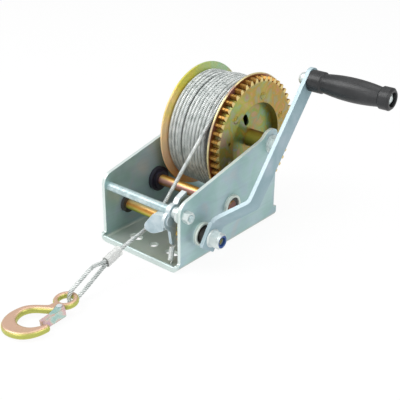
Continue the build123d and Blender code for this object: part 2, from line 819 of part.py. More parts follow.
with BuildPart() as intermediate_gear:
    toothed(intermediate_axis, wheel_x0, wheel_x1, wheel_teeth, crank_direction + pi / wheel_teeth)
    turned(intermediate_axis, ring(drum_pinion_x1 + 0.2, wheel_x0, intermediate_radius, wheel_hub_radius))
    bored(intermediate_axis, drum_pinion_x1, wheel_x1 + 1, intermediate_radius + running_gap / 2)
save(intermediate_gear, "intermediate_gear")

with BuildPart() as intermediate_clip:
    turned(intermediate_axis, ring(clip_x0, clip_x0 + clip_thickness, intermediate_radius + running_gap / 2,
                                   intermediate_radius + clip_width))
save(intermediate_clip, "intermediate_clip")

# Crank shaft: pinion, ratchet wheel, collar, two flats for the arm and a thread for the nut
nut_x1 = arm_x1 + nut_flange_height + nut_hex_height + nut_collar_height
thread_end = nut_x1 - thread_inset
with BuildPart() as crank_shaft:
    left_end = clip_x0 - shaft_end
    turned(crank_axis, [
        (left_end, 0), (left_end, crank_radius - 1), (left_end + 1, crank_radius), (arm_x1, crank_radius),
        (arm_x1, thread_radius), (thread_end - 1, thread_radius), (thread_end, thread_radius - 1),
        (thread_end, 0),
    ])
    with BuildSketch(face_plane(arm_x0, crank_axis)):
        with Locations(Rotation(0, 0, degrees(crank_angle))):
            with GridLocations(1, shaft_flats + 4 * crank_radius, 1, 2):
                Rectangle(4 * crank_radius, 4 * crank_radius)
    extrude(amount=arm_thickness, mode=Mode.SUBTRACT)
save(crank_shaft, "crank_shaft")

with BuildPart() as crank_clip:
    turned(crank_axis, ring(clip_x0, clip_x0 + clip_thickness, crank_radius + running_gap / 2,
                            crank_radius + clip_width))
save(crank_clip, "crank_clip")

with BuildPart() as crank_pinion:
    toothed(crank_axis, crank_pinion_x0, crank_pinion_x1, pinion_teeth, crank_direction + pi)
    bored(crank_axis, crank_pinion_x0 - 1, crank_pinion_x1 + 1, crank_radius + running_gap / 2)
save(crank_pinion, "crank_pinion")

with BuildPart() as ratchet_wheel:
    tooth_step = 2 * pi / ratchet_teeth
    ratchet_root = ratchet_radius - ratchet_tooth_depth
    with BuildSketch(face_plane(ratchet_x0, crank_axis)):
        with BuildLine():
            corners = []
            for tooth in range(ratchet_teeth):
                middle = tooth * tooth_step
                for radius, offset in ((ratchet_root, -0.3), (ratchet_radius, -0.2), (ratchet_radius, 0.2),
                                       (ratchet_root, 0.3)):
                    corners.append(polar(radius, middle + offset * tooth_step))
            Polyline(*corners, close=True)
        make_face()
    extrude(amount=ratchet_thickness)
    bored(crank_axis, ratchet_x0 - 1, ratchet_x1 + 1, crank_radius + running_gap / 2)
save(ratchet_wheel, "ratchet_wheel")

# Collar between the bush and the arm
with BuildPart() as crank_collar:
    turned(crank_axis, ring(bush_end + face_gap, arm_x0, crank_radius + running_gap / 2, collar_radius))
save(crank_collar, "crank_collar")

# Crank arm: flat bar, joggled outwards so that the grip clears the frame
arm_plane = Plane(
    origin=(0, crank_axis[0], crank_axis[1]),
    x_dir=(0, cos(crank_angle), sin(crank_angle)),
    z_dir=(0, sin(crank_angle), -cos(crank_angle)),
)
joggle_angle = atan2(arm_joggle, joggle_end - joggle_start)
mitre = arm_thickness * tan(joggle_angle / 2)
arm_end = crank_length + arm_end_margin
with BuildPart() as crank_arm:
    with BuildSketch(arm_plane.offset(-arm_width / 2)):
        with BuildLine():
            Polyline(
                (shaft_flats, arm_x0), (joggle_start, arm_x0), (joggle_end, upper_arm_x0),
                (arm_end, upper_arm_x0), (arm_end, upper_arm_x1), (joggle_end - mitre, upper_arm_x1),
                (joggle_start - mitre, arm_x1), (shaft_flats, arm_x1), close=True,
            )
        make_face()
        bends = vertices().filter_by(lambda v: shaft_flats + 1 < v.X < crank_length)
        fillet(bends, arm_bend_radius)
    extrude(amount=arm_width)
    ends = edges().filter_by(Axis.X)
    far_ends = ends.filter_by(lambda e: arm_plane.to_local_coords(e.center()).X > crank_length)
    fillet(far_ends, arm_width / 2 - 0.05)
    with BuildSketch(face_plane(arm_x0, crank_axis)):
        with Locations(Rotation(0, 0, degrees(crank_angle) + arm_foot_turn)):
            with Locations(((arm_foot_start + arm_foot_end) / 2, 0)):
                Rectangle(arm_foot_end - arm_foot_start, arm_foot_width)
        fillet(vertices(), 2.0)
    extrude(amount=arm_thickness)
    with BuildSketch(face_plane(arm_x0 - 1, crank_axis)):
        with Locations(Rotation(0, 0, degrees(crank_angle))):
            Circle(crank_radius + running_gap)
            Rectangle(4 * crank_radius, shaft_flats + 2 * running_gap, mode=Mode.INTERSECT)
    extrude(amount=arm_thickness + 2, mode=Mode.SUBTRACT)
    grip_axis = away(crank_axis, crank_length, crank_angle)
    bored(grip_axis, upper_arm_x0 - 1, upper_arm_x1 + 1, grip_bolt_radius + running_gap)
save(crank_arm, "crank_arm")

# Locking nut with a flange and a nylon ring
nut_hex_x = arm_x1 + nut_flange_height
nut_collar_x = nut_hex_x + nut_hex_height
nylon_x1 = nut_x1 - 0.5
nylon_x0 = nylon_x1 - nylon_length
with BuildPart() as crank_nut:
    hexagon(crank_axis, nut_hex_x, nut_collar_x, nut_flats, 1, nut_turn)
    turned(crank_axis, [(arm_x1, 0), (arm_x1, nut_flange_radius), (arm_x1 + 0.8, nut_flange_radius),
                        (nut_hex_x, nut_flange_radius - 0.8), (nut_hex_x, 0)])
    turned(crank_axis, [(nut_collar_x, 0), (nut_collar_x, nut_collar_radius), (nut_x1 - 1, nut_collar_radius),
                        (nut_x1, nut_collar_radius - 1), (nut_x1, 0)])
    bored(crank_axis, arm_x1 - 1, nut_x1 + 1, thread_radius + running_gap)
    bored(crank_axis, nylon_x0, nut_x1 + 1, nylon_radius + running_gap)
save(crank_nut, "crank_nut")

with BuildPart() as nylon_ring:
    turned(crank_axis, ring(nylon_x0, nylon_x1, thread_radius + running_gap, nylon_radius))
save(nylon_ring, "nylon_ring")

# Grip: turns on a bolt whose nut sits in the recess of its outer end
grip_x0 = upper_arm_x1 + 0.4
grip_x1 = grip_x0 + grip_length
recess_x = grip_x1 - grip_recess_depth
grip_plane = Plane(origin=(0, grip_axis[0], grip_axis[1]), x_dir=(1, 0, 0), z_dir=(0, -1, 0))
grip_turning = Axis((0, grip_axis[0], grip_axis[1]), (1, 0, 0))
with BuildPart() as grip:
    collar_x = grip_x0 + grip_inner_collar
    tail_x = grip_x1 - grip_outer_collar
    swell_x = (collar_x + tail_x) / 2
    bore = grip_bolt_radius + running_gap
    with BuildSketch(grip_plane):
        with BuildLine():
            Polyline((grip_x0, bore), (grip_x0, grip_end_radius - 1), (grip_x0 + 1, grip_end_radius),
                     (collar_x - 2, grip_end_radius), (collar_x - 0.6, grip_end_radius - 0.9),
                     (collar_x, grip_neck_radius))
            ThreePointArc((collar_x, grip_neck_radius), (swell_x, grip_swell_radius),
                          (tail_x, grip_tail_radius))
            Polyline((tail_x, grip_tail_radius), (tail_x + 1.5, grip_collar_radius),
                     (grip_x1 - 2, grip_collar_radius), (grip_x1, grip_collar_radius - 2),
                     (grip_x1, grip_recess_radius), (recess_x, grip_recess_radius), (recess_x, bore),
                     (grip_x0, bore))
        make_face()
    revolve(axis=grip_turning)
save(grip, "grip")

grip_bolt_end = recess_x + face_gap + grip_nut_thickness + 1.2
with BuildPart() as grip_bolt:
    head_x = upper_arm_x0 - grip_head_height
    dome_x = head_x + grip_dome_height
    with BuildSketch(grip_plane):
        with BuildLine():
            ThreePointArc((head_x, 0), (head_x + 0.29 * grip_dome_height, 0.71 * grip_head_radius),
                          (dome_x, grip_head_radius))
            Polyline((dome_x, grip_head_radius), (upper_arm_x0, grip_head_radius),
                     (upper_arm_x0, grip_bolt_radius), (grip_bolt_end - 0.8, grip_bolt_radius),
                     (grip_bolt_end, grip_bolt_radius - 0.8), (grip_bolt_end, 0), (head_x, 0))
        make_face()
    revolve(axis=grip_turning)
save(grip_bolt, "grip_bolt")

with BuildPart() as grip_nut:
    nut_x = recess_x + face_gap
    hexagon(grip_axis, nut_x, nut_x + grip_nut_thickness, grip_nut_flats, 1)
    bored(grip_axis, nut_x - 1, nut_x + grip_nut_thickness + 1, grip_bolt_radius + running_gap)
save(grip_nut, "grip_nut")

# Pawl: a stamped two-way dog on the tie rod, with two tips each side of the ratchet wheel
pawl_x0 = ratchet_x0 + 0.5
pawl_x1 = pawl_x0 + pawl_thickness
pawl_hub_x1 = pawl_x0 + pawl_hub_length
pawl_reach = 30.0
ratchet_way = atan2(crank_axis[1] - tie_axis[1], crank_axis[0] - tie_axis[0])
tip_spread = radians(35.0)
rear_tip = polar(pawl_reach, ratchet_way + tip_spread)
lower_tip = polar(pawl_reach, ratchet_way - tip_spread)
tail_low = -40.0
lever_plane = Plane(origin=(0, tie_axis[0] + pawl_lever_middle, tie_axis[1]), x_dir=(1, 0, 0), z_dir=(0, -1, 0))
lever_root = pawl_x0 + 1.0
with BuildPart() as pawl:
    with BuildSketch(face_plane(pawl_x0, tie_axis)):
        Circle(pawl_hub_radius)
        with Locations(pawl_cheek_place):
            Circle(pawl_cheek_radius)
        with BuildLine():
            Polyline((-2, 7.5), (rear_tip[0], rear_tip[1] + 3.5), rear_tip,
                     (rear_tip[0] - 5, rear_tip[1] - 0.3), (8, -10), (-2, -8), close=True)
        make_face()
        with BuildLine():
            Polyline((-11, -17), (-5.3, -22.5), (-2.7, tail_low + 1.5), (-1.5, tail_low), (1.2, tail_low),
                     (1.5, tail_low + 4), (lower_tip[0] - 1.5, lower_tip[1] - 1), lower_tip, (6, -16),
                     (6, -10), close=True)
        make_face()
    extrude(amount=pawl_thickness)
    with BuildSketch(face_plane(pawl_x0, tie_axis)):
        Circle(pawl_hub_radius)
    extrude(amount=pawl_hub_length)
    with BuildSketch(face_plane(pawl_x1, tie_axis)):
        with Locations(pawl_cheek_place):
            Circle(pawl_boss_radius)
    extrude(amount=pawl_boss_length)

    # Lever: a block that slopes down from the hub to its nose, with bevelled edges to the front
    with BuildSketch(lever_plane) as lever:
        with BuildLine():
            Polyline((pawl_nose_x, -21.5), (pawl_nose_x + 1.3, -18.3), (24.5, -3.8), (lever_root, -0.8),
                     (lever_root, -18.0), (38.0, -20.2), (25.8, -26.7), (20.5, -27.8),
                     (pawl_nose_x + 1.4, -26.2), close=True)
        make_face()
    extrude(lever.sketch, amount=pawl_lever_middle - pawl_lever_back)
    extrude(lever.sketch, amount=pawl_lever_middle - pawl_lever_front, taper=pawl_lever_slope)

    # Thumb tab
    tab_x = (pawl_x0 + pawl_x1 - thumb_tab_width) / 2
    with BuildSketch(face_plane(tab_x, tie_axis)):
        with BuildLine():
            Polyline((3.2, 6.3), (5.2, 8.8), (8.2, 12.6), (19.3, 17.2), (20.4, 14.6), (10.0, 10.2),
                     (7.4, 4.6), close=True)
        make_face()
    extrude(amount=thumb_tab_width)
    bored(tie_axis, pawl_nose_x - 1, pawl_hub_x1 + pawl_boss_length, tie_rod_radius + running_gap)
    bored(tie_axis, pawl_x0 - 2 * face_gap - clip_thickness, pawl_x0, clip_ring_radius + face_gap)
save(pawl, "pawl")
tip_away = dist(rear_tip, (crank_axis[0] - tie_axis[0], crank_axis[1] - tie_axis[1]))
print(f"pawl: tips {tip_away - ratchet_radius:.2f} clear of the ratchet")

with BuildPart() as pawl_spacer:
    spacer_bore = tie_rod_radius + running_gap / 2
    spacer_x0 = pawl_hub_x1 + face_gap
    flange_x0 = wall_in - spacer_flange_thickness
    turned(tie_axis, [
        (spacer_x0, spacer_bore), (wall_in, spacer_bore), (wall_in, spacer_flange_radius),
        (flange_x0, spacer_flange_radius), (flange_x0, spacer_radius), (spacer_x0, spacer_radius),
    ])
save(pawl_spacer, "pawl_spacer")

with BuildPart() as pawl_clip:
    clip_x1 = pawl_x0 - face_gap
    turned(tie_axis, ring(clip_x1 - clip_thickness, clip_x1, tie_rod_radius + running_gap / 2,
                          clip_ring_radius))
save(pawl_clip, "pawl_clip")

# Pawl spring: close coils between the pawl's tail and the base
spring_x = (pawl_x0 + pawl_x1) / 2
spring_y = tie_axis[0] - 0.3
spring_top = tie_axis[1] + tail_low - face_gap
spring_bottom = sheet
coil_height = spring_half_turns / 2 * spring_pitch
coil_base = (spring_bottom + spring_top - coil_height) / 2


def spring_point(half_turn):
    angle = pi * half_turn
    rise = spring_pitch * half_turn / 2
    lean = spring_lean * (rise - coil_height)
    return Vector(spring_x + spring_radius * cos(angle), spring_y + lean + spring_radius * sin(angle),
                  coil_base + rise)


def spring_tangent(half_turn):
    angle = pi * half_turn
    climb_rate = spring_pitch / (2 * pi)
    return Vector(-spring_radius * sin(angle), spring_radius * cos(angle) + spring_lean * climb_rate,
                  climb_rate).normalized()


with BuildPart() as pawl_spring:
    with BuildLine() as spring_route:
        upright = Vector(0, 0, 1)
        foot_y = spring_y - spring_lean * coil_height - 2 * spring_wire
        foot = Vector(spring_x + spring_radius, foot_y, spring_bottom)
        knee = foot + upright * (coil_base - spring_bottom - 2 * spring_wire)
        Line(foot, knee)
        biarc(knee, upright, spring_point(0), spring_tangent(0))
        for half_turn in range(spring_half_turns * 2):
            biarc(spring_point(half_turn / 2), spring_tangent(half_turn / 2),
                  spring_point(half_turn / 2 + 0.5), spring_tangent(half_turn / 2 + 0.5))
        head = spring_point(spring_half_turns)
        neck = head + Vector(0, 2 * spring_wire, 2 * spring_wire)
        biarc(head, spring_tangent(spring_half_turns), neck, upright)
        Line(neck, Vector(neck.X, neck.Y, spring_top))
    with BuildSketch(Plane(origin=spring_route.line @ 0, z_dir=spring_route.line % 0)):
        Circle(spring_wire / 2)
    sweep(path=spring_route.line)
save(pawl_spring, "pawl_spring")
print(f"pawl_spring: least gap to itself {least_gap(spring_route, spring_wire):.2f}")

# Hook: forged, lying almost flat, with its eye raised by the rope that passes under it
hook_plane = Plane(
    origin=eye_centre,
    x_dir=(cos(hook_heading) * cos(hook_tilt), sin(hook_heading) * cos(hook_tilt), -sin(hook_tilt)),
    z_dir=(cos(hook_heading) * sin(hook_tilt), sin(hook_heading) * sin(hook_tilt), cos(hook_tilt)),
)
with BuildPart() as hook:
    with BuildSketch(hook_plane.offset(-hook_thickness / 2)):
        with BuildLine():
            back = Spline((15.0, 0.8), (23.0, -5.4), (30.7, -11.6), (38.2, -15.1), (46.5, -15.5), (56.3, -13.3),
                          (64.4, -7.6), (69.4, 0.3), (70.3, 8.0), (67.5, 17.3), (59.3, 27.4), (48.0, 32.2),
                          (36.0, 32.4))
            tip = ThreePointArc(back @ 1, (31.9, 28.8), (35.2, 25.2))
            throat = Spline(tip @ 1, (41.5, 23.8), (47.9, 20.4), (52.6, 14.0), (54.4, 6.5), (53.0, 0.9),
                            (48.7, -4.0), (42.2, -6.9), (36.0, -5.7), (26.9, 1.8), (21.1, 7.6), (16.5, 12.5),
                            tangents=(tip % 1, Vector(-0.68, 0.73)))
            Polyline(throat @ 1, (8.6, 9.2), (10.6, 0.5), back @ 0)
        make_face()
    extrude(amount=hook_thickness)
    flat_rims = edges().filter_by(GeomType.LINE, reverse=True).filter_by(
        lambda e: abs(abs(hook_plane.to_local_coords(e.center()).Z) - hook_thickness / 2) < 0.01
    )
    fillet(flat_rims, hook_edge)
    with BuildSketch(hook_plane.offset(-hook_thickness / 2)):
        with Locations(latch_pivot):
            Circle(latch_boss_radius)
    extrude(amount=hook_thickness)
    with BuildSketch(Plane(origin=eye_centre, x_dir=hook_plane.x_dir, z_dir=-hook_plane.y_dir)):
        with Locations(((eye_hole_radius + eye_radius) / 2, 0)):
            RectangleRounded(eye_radius - eye_hole_radius, eye_thickness, eye_edge)
    revolve(axis=Axis(eye_centre, hook_plane.z_dir))
    with BuildSketch(hook_plane.offset(-hook_thickness)):
        with Locations(latch_pivot):
            Circle(latch_pin_radius + running_gap)
    extrude(amount=2 * hook_thickness, mode=Mode.SUBTRACT)
save(hook, "hook")

with BuildPart() as latch_pin:
    pin_half = hook_thickness / 2 + latch_gap + latch_sheet + 0.1
    with BuildSketch(hook_plane.offset(-pin_half - latch_pin_head_height)):
        with Locations(latch_pivot):
            Circle(latch_pin_head)
    extrude(amount=latch_pin_head_height)
    with BuildSketch(hook_plane.offset(-pin_half)):
        with Locations(latch_pivot):
            Circle(latch_pin_radius)
    extrude(amount=2 * pin_half)
    with BuildSketch(hook_plane.offset(pin_half)):
        with Locations(latch_pivot):
            Circle(latch_pin_head)
    extrude(amount=latch_pin_head_height)
save(latch_pin, "latch_pin")

# Safety latch: a folded sheet that straddles the shank and closes the throat
with BuildPart() as latch:
    cheek = hook_thickness / 2 + latch_gap
    with BuildSketch(hook_plane.offset(-cheek - latch_sheet)) as latch_plan:
        with BuildLine():
            Polyline((7.6, 8.2), (12.5, 6.4), (19.0, 11.6), (27.2, 16.2), (37.6, 19.4), (38.2, 21.6),
                     (36.6, 23.6), (20.0, 19.6), (8.6, 16.8), close=True)
        make_face()
        fillet(vertices(), 1.2)
    extrude(amount=2 * (cheek + latch_sheet))
    with BuildSketch(hook_plane.offset(-cheek)):
        with BuildLine():
            Polyline((4.0, 2.0), (42.0, 2.0), (42.0, 19.0), (36.6, 22.2), (20.0, 18.4), (8.9, 15.7),
                     (4.0, 15.7), close=True)
        make_face()
    extrude(amount=2 * cheek, mode=Mode.SUBTRACT)
    with BuildSketch(hook_plane.offset(-hook_thickness)):
        with Locations(latch_pivot):
            Circle(latch_pin_radius + running_gap)
    extrude(amount=2 * hook_thickness, mode=Mode.SUBTRACT)
save(latch, "latch")

print("shafts", intermediate_axis, drum_axis, crank_axis, tie_axis, grip_axis)
print("eye", eye_centre, "pivot", hook_plane.from_local_coords((*latch_pivot, 0)), "up", hook_plane.z_dir)
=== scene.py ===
# %% [markdown]
# # A hand winch, dressed in Blender
# The solids of the winch come in as a fixed frame, in metres, and every piece made here sits on them.
# The frame is loaded first and its box is kept, so that the dressed model can be compared with it at the end.

# %% Load the frame
import json
import math

import bmesh
import bpy
from mathutils import Matrix, Vector
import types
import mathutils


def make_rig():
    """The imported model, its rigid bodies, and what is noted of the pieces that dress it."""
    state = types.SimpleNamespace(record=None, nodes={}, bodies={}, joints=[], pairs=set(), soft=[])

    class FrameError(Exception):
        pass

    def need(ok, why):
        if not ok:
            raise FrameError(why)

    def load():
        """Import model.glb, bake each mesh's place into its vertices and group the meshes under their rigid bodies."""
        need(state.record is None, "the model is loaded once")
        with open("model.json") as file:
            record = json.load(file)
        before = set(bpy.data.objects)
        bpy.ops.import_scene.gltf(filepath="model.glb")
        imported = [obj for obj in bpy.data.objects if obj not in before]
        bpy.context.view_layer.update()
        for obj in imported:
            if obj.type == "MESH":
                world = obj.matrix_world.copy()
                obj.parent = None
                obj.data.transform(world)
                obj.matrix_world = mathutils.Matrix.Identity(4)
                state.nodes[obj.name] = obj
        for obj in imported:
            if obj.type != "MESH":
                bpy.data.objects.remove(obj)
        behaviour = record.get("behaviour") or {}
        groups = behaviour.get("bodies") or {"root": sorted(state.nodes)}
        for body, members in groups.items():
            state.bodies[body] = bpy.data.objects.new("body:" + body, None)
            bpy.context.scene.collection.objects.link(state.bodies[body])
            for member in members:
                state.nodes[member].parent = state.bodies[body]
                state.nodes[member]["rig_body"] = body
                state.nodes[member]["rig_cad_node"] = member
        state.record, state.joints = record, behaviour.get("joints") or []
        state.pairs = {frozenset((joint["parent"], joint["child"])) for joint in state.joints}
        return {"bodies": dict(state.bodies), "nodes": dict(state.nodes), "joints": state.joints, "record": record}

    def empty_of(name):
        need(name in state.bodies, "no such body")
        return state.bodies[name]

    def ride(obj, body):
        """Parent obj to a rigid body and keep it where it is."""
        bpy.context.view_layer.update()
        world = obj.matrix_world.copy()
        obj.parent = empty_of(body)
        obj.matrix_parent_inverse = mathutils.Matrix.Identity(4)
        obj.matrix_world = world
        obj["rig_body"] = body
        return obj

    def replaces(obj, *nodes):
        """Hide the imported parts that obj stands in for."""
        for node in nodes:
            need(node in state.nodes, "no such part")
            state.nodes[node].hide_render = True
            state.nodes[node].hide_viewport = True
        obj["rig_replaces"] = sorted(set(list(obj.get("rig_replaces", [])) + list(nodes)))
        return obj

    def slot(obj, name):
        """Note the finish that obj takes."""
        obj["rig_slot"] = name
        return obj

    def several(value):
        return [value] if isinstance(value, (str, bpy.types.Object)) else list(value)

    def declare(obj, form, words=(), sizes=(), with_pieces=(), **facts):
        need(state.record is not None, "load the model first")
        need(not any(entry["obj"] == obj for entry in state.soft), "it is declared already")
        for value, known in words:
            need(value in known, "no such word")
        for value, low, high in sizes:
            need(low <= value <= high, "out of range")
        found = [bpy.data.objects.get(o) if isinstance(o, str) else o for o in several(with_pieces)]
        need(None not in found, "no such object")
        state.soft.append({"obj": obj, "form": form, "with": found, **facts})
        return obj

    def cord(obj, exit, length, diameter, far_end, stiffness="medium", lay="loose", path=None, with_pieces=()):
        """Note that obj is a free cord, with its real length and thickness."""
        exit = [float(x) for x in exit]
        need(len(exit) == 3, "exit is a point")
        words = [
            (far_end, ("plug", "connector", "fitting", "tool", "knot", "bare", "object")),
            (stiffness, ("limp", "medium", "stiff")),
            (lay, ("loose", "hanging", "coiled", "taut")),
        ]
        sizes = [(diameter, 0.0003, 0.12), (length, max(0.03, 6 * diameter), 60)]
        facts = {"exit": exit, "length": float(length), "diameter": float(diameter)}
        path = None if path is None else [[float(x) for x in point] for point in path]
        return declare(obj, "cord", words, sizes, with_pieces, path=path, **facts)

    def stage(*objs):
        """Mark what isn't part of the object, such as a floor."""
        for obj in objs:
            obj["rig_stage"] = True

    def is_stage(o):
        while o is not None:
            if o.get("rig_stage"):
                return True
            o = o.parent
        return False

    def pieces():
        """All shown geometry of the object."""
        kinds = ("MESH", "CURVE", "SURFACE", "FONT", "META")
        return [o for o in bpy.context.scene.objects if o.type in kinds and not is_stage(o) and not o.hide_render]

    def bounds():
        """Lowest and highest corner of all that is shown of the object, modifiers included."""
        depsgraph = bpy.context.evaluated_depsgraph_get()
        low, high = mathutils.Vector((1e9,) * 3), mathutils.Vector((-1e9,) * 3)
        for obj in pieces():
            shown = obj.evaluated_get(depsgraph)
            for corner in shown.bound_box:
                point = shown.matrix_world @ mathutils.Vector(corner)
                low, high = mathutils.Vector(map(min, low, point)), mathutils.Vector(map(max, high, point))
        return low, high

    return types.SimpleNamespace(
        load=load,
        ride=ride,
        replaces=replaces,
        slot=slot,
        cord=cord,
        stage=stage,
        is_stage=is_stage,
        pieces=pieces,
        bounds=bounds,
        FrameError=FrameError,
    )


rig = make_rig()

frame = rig.load()
cad_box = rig.bounds()
nodes = frame["nodes"]
print("solids:", len(nodes), "box:", [[round(v, 4) for v in corner] for corner in cad_box])

# %% [markdown]
# ## The camera
# The photograph's view was solved from the winch's own parts: where the shafts, the wall edges and the base
# corners fall. The camera is built from that place and its three axes, so nothing needs to be aimed by eye.

# %% Camera at the photograph's view
photo_width_px = 400.0
focal_length_px = 789.0
sensor_width_mm = 36.0
camera_place = Vector((0.5432, -0.6331, 0.4484))
azimuth = math.radians(39.94)
elevation = math.radians(26.29)
roll = math.radians(0.61)
back = Vector((math.sin(azimuth) * math.cos(elevation), -math.cos(azimuth) * math.cos(elevation),
               math.sin(elevation)))
level = Vector((math.cos(azimuth), math.sin(azimuth), 0))
upright = back.cross(level)
right = level * math.cos(roll) + upright * math.sin(roll)
up = upright * math.cos(roll) - level * math.sin(roll)
camera_data = bpy.data.cameras.new("studio_camera")
camera_data.sensor_width = sensor_width_mm
camera_data.lens = sensor_width_mm * focal_length_px / photo_width_px
camera = bpy.data.objects.new("studio_camera", camera_data)
camera.matrix_world = Matrix((
    (right.x, up.x, back.x, camera_place.x),
    (right.y, up.y, back.y, camera_place.y),
    (right.z, up.z, back.z, camera_place.z),
    (0, 0, 0, 1),
))
bpy.context.scene.collection.objects.link(camera)
bpy.context.scene.camera = camera
bpy.context.scene.view_settings.view_transform = "Standard"
print("lens", round(camera_data.lens, 1), "mm")

# %% [markdown]
# ## Colours and nodes
# Colours are written as they look on a screen, in sRGB hex, and turned to linear light by one function.
# One more function adds a shader node, sets its values and makes its links, so each finish reads as a short
# list.

# %% Colour and node helpers
def tint(hex_code):
    """An sRGB hex colour as linear RGBA."""
    channels = [int(hex_code[i:i + 2], 16) / 255 for i in (1, 3, 5)]
    linear = [c / 12.92 if c <= 0.04045 else ((c + 0.055) / 1.055) ** 2.4 for c in channels]
    return (*linear, 1.0)


def put(material, kind, inputs=None, stops=(), **settings):
    """Adds a node. An input is a value, or the socket that feeds it. Stops are the places and hex colours of
    a ramp."""
    made = material.node_tree.nodes.new(kind)
    for name, value in settings.items():
        setattr(made, name, value)
    for socket, value in (inputs or {}).items():
        if isinstance(value, bpy.types.NodeSocket):
            material.node_tree.links.new(value, made.inputs[socket])
        else:
            made.inputs[socket].default_value = value
    for _ in range(len(stops) - 2):
        made.color_ramp.elements.new(0.5)
    for index, (position, hex_code) in enumerate(stops):
        made.color_ramp.elements[index].position = position
        made.color_ramp.elements[index].color = tint(hex_code)
    return made


def finish_named(name):
    """A new material with its shader, and the object coordinates its patterns are laid in."""
    material = bpy.data.materials.new(name)
    material.use_nodes = True
    material.node_tree.nodes.clear()
    shader = put(material, "ShaderNodeBsdfPrincipled")
    put(material, "ShaderNodeOutputMaterial", {"Surface": shader.outputs["BSDF"]})
    place = put(material, "ShaderNodeTexCoord").outputs["Object"]
    return material, shader, place


def per_mm(size):
    """Texture scale at which a pattern's features are about this many millimetres."""
    return 1000.0 / size


def link(material, source, target):
    """Joins one node's output to another's input."""
    material.node_tree.links.new(source, target)


# %% [markdown]
# ## The free rope
# Galvanised wire rope is six strands laid round a core, so its outline has lobes that twist along it. The
# route is one smooth spline that follows the solid tube to within a few millimetres. A bevelled curve would
# be a plain tube, so the strands are a lobed section carried along that line.

# %% A smooth line through a route
route_resolution = 48


def line_of(name, points):
    """Points read along a smooth spline that has the route's points as its control points."""
    curve = bpy.data.curves.new(name, "CURVE")
    curve.dimensions = "3D"
    curve.resolution_u = route_resolution
    spline = curve.splines.new("NURBS")
    spline.points.add(len(points) - 1)
    for control, point in zip(spline.points, points):
        control.co = (*point, 1.0)
    spline.order_u = 3
    spline.use_endpoint_u = True
    holder = bpy.data.objects.new(name, curve)
    bpy.context.scene.collection.objects.link(holder)
    bpy.context.view_layer.update()
    line = bpy.data.meshes.new_from_object(holder)
    found = [vertex.co.copy() for vertex in line.vertices]
    bpy.data.objects.remove(holder)
    bpy.data.meshes.remove(line)
    return found


def evenly(points, spacing):
    """The same line with its points a set distance apart."""
    placed = [points[0].copy()]
    carried = 0.0
    for start, end in zip(points, points[1:]):
        run = (end - start).length
        while carried + run >= spacing:
            step = spacing - carried
            start = start + (end - start) * (step / run)
            run -= step
            carried = 0.0
            placed.append(start.copy())
        carried += run
    placed.append(points[-1].copy())
    return placed


# %% Strands laid along a line
rope_diameter = 0.0048
strand_count = 6
lay_length = 0.022
points_per_strand = 6
core_share = 0.72
lobe_share = 0.22
lobe_fullness = 0.6


def strand_rope(name, points, finish, spacing=0.0012):
    """A mesh rope: a section of six lobes that turns once in each lay length."""
    line = evenly(points, spacing)
    sides = strand_count * points_per_strand
    mesh = bmesh.new()
    height = mesh.verts.layers.float.new("strand_height")
    rings = []
    travelled = 0.0
    ahead = (line[1] - line[0]).normalized()
    side = ahead.orthogonal().normalized()
    for index, centre in enumerate(line):
        if index:
            travelled += (centre - line[index - 1]).length
        before = line[max(index - 1, 0)]
        after = line[min(index + 1, len(line) - 1)]
        direction = (after - before).normalized()
        side = (side - direction * side.dot(direction)).normalized()
        other = direction.cross(side)
        twist = 2 * math.pi * travelled / lay_length
        ring = []
        for corner in range(sides):
            angle = 2 * math.pi * corner / sides
            lobe = abs(math.sin(strand_count * angle / 2)) ** lobe_fullness
            radius = rope_diameter / 2 * (core_share + lobe_share * lobe)
            turned = angle + twist
            point = mesh.verts.new(centre + (side * math.cos(turned) + other * math.sin(turned)) * radius)
            point[height] = lobe
            ring.append(point)
        rings.append(ring)
    for near, far in zip(rings, rings[1:]):
        for corner in range(sides):
            following = (corner + 1) % sides
            mesh.faces.new((near[corner], near[following], far[following], far[corner]))
    mesh.faces.new(list(reversed(rings[0])))
    mesh.faces.new(rings[-1])
    for face in mesh.faces:
        face.smooth = True
    data = bpy.data.meshes.new(name)
    mesh.to_mesh(data)
    mesh.free()
    data.materials.append(finish)
    rope = bpy.data.objects.new(name, data)
    bpy.context.scene.collection.objects.link(rope)
    return rope, line


# %% Galvanised steel wire
# Drawn wire with a zinc coat: bright grey metal, dulled a little, with painted shade between strands and painted
# highlight on them.
# Real wires are 0.3 mm thick, too fine to show, so the streaks that stand for them are drawn at 0.9 mm.
rope_steel, shader, place = finish_named("galvanised_wire_rope")
depth = put(rope_steel, "ShaderNodeAttribute", attribute_name="strand_height")
patches = put(rope_steel, "ShaderNodeTexNoise", {"Vector": place, "Scale": per_mm(7), "Detail": 3.0})
wires = put(rope_steel, "ShaderNodeTexNoise", {"Vector": place, "Scale": per_mm(0.9), "Detail": 2.0})
# Low strand height gives painted shade in the grooves, and high strand height painted highlight on the crowns.
painted_strand_shading = put(rope_steel, "ShaderNodeMath", {0: depth.outputs["Fac"], 1: patches.outputs["Fac"]},
           operation="MULTIPLY")
tone = put(rope_steel, "ShaderNodeMath", {0: painted_strand_shading.outputs["Value"], 1: wires.outputs["Fac"]},
           operation="MULTIPLY")
colour = put(rope_steel, "ShaderNodeValToRGB", {"Fac": tone.outputs["Value"]},
             stops=[(0.02, "#5E6664"), (0.09, "#9AA19F"), (0.20, "#CED3D1"), (0.34, "#F0F3F1")])
link(rope_steel, colour.outputs["Color"], shader.inputs["Base Color"])
shine = put(rope_steel, "ShaderNodeMapRange", {"Value": wires.outputs["Fac"], "To Min": 0.28, "To Max": 0.5})
link(rope_steel, shine.outputs["Result"], shader.inputs["Roughness"])
shader.inputs["Metallic"].default_value = 0.5
print("rope finish:", len(rope_steel.node_tree.nodes), "nodes")

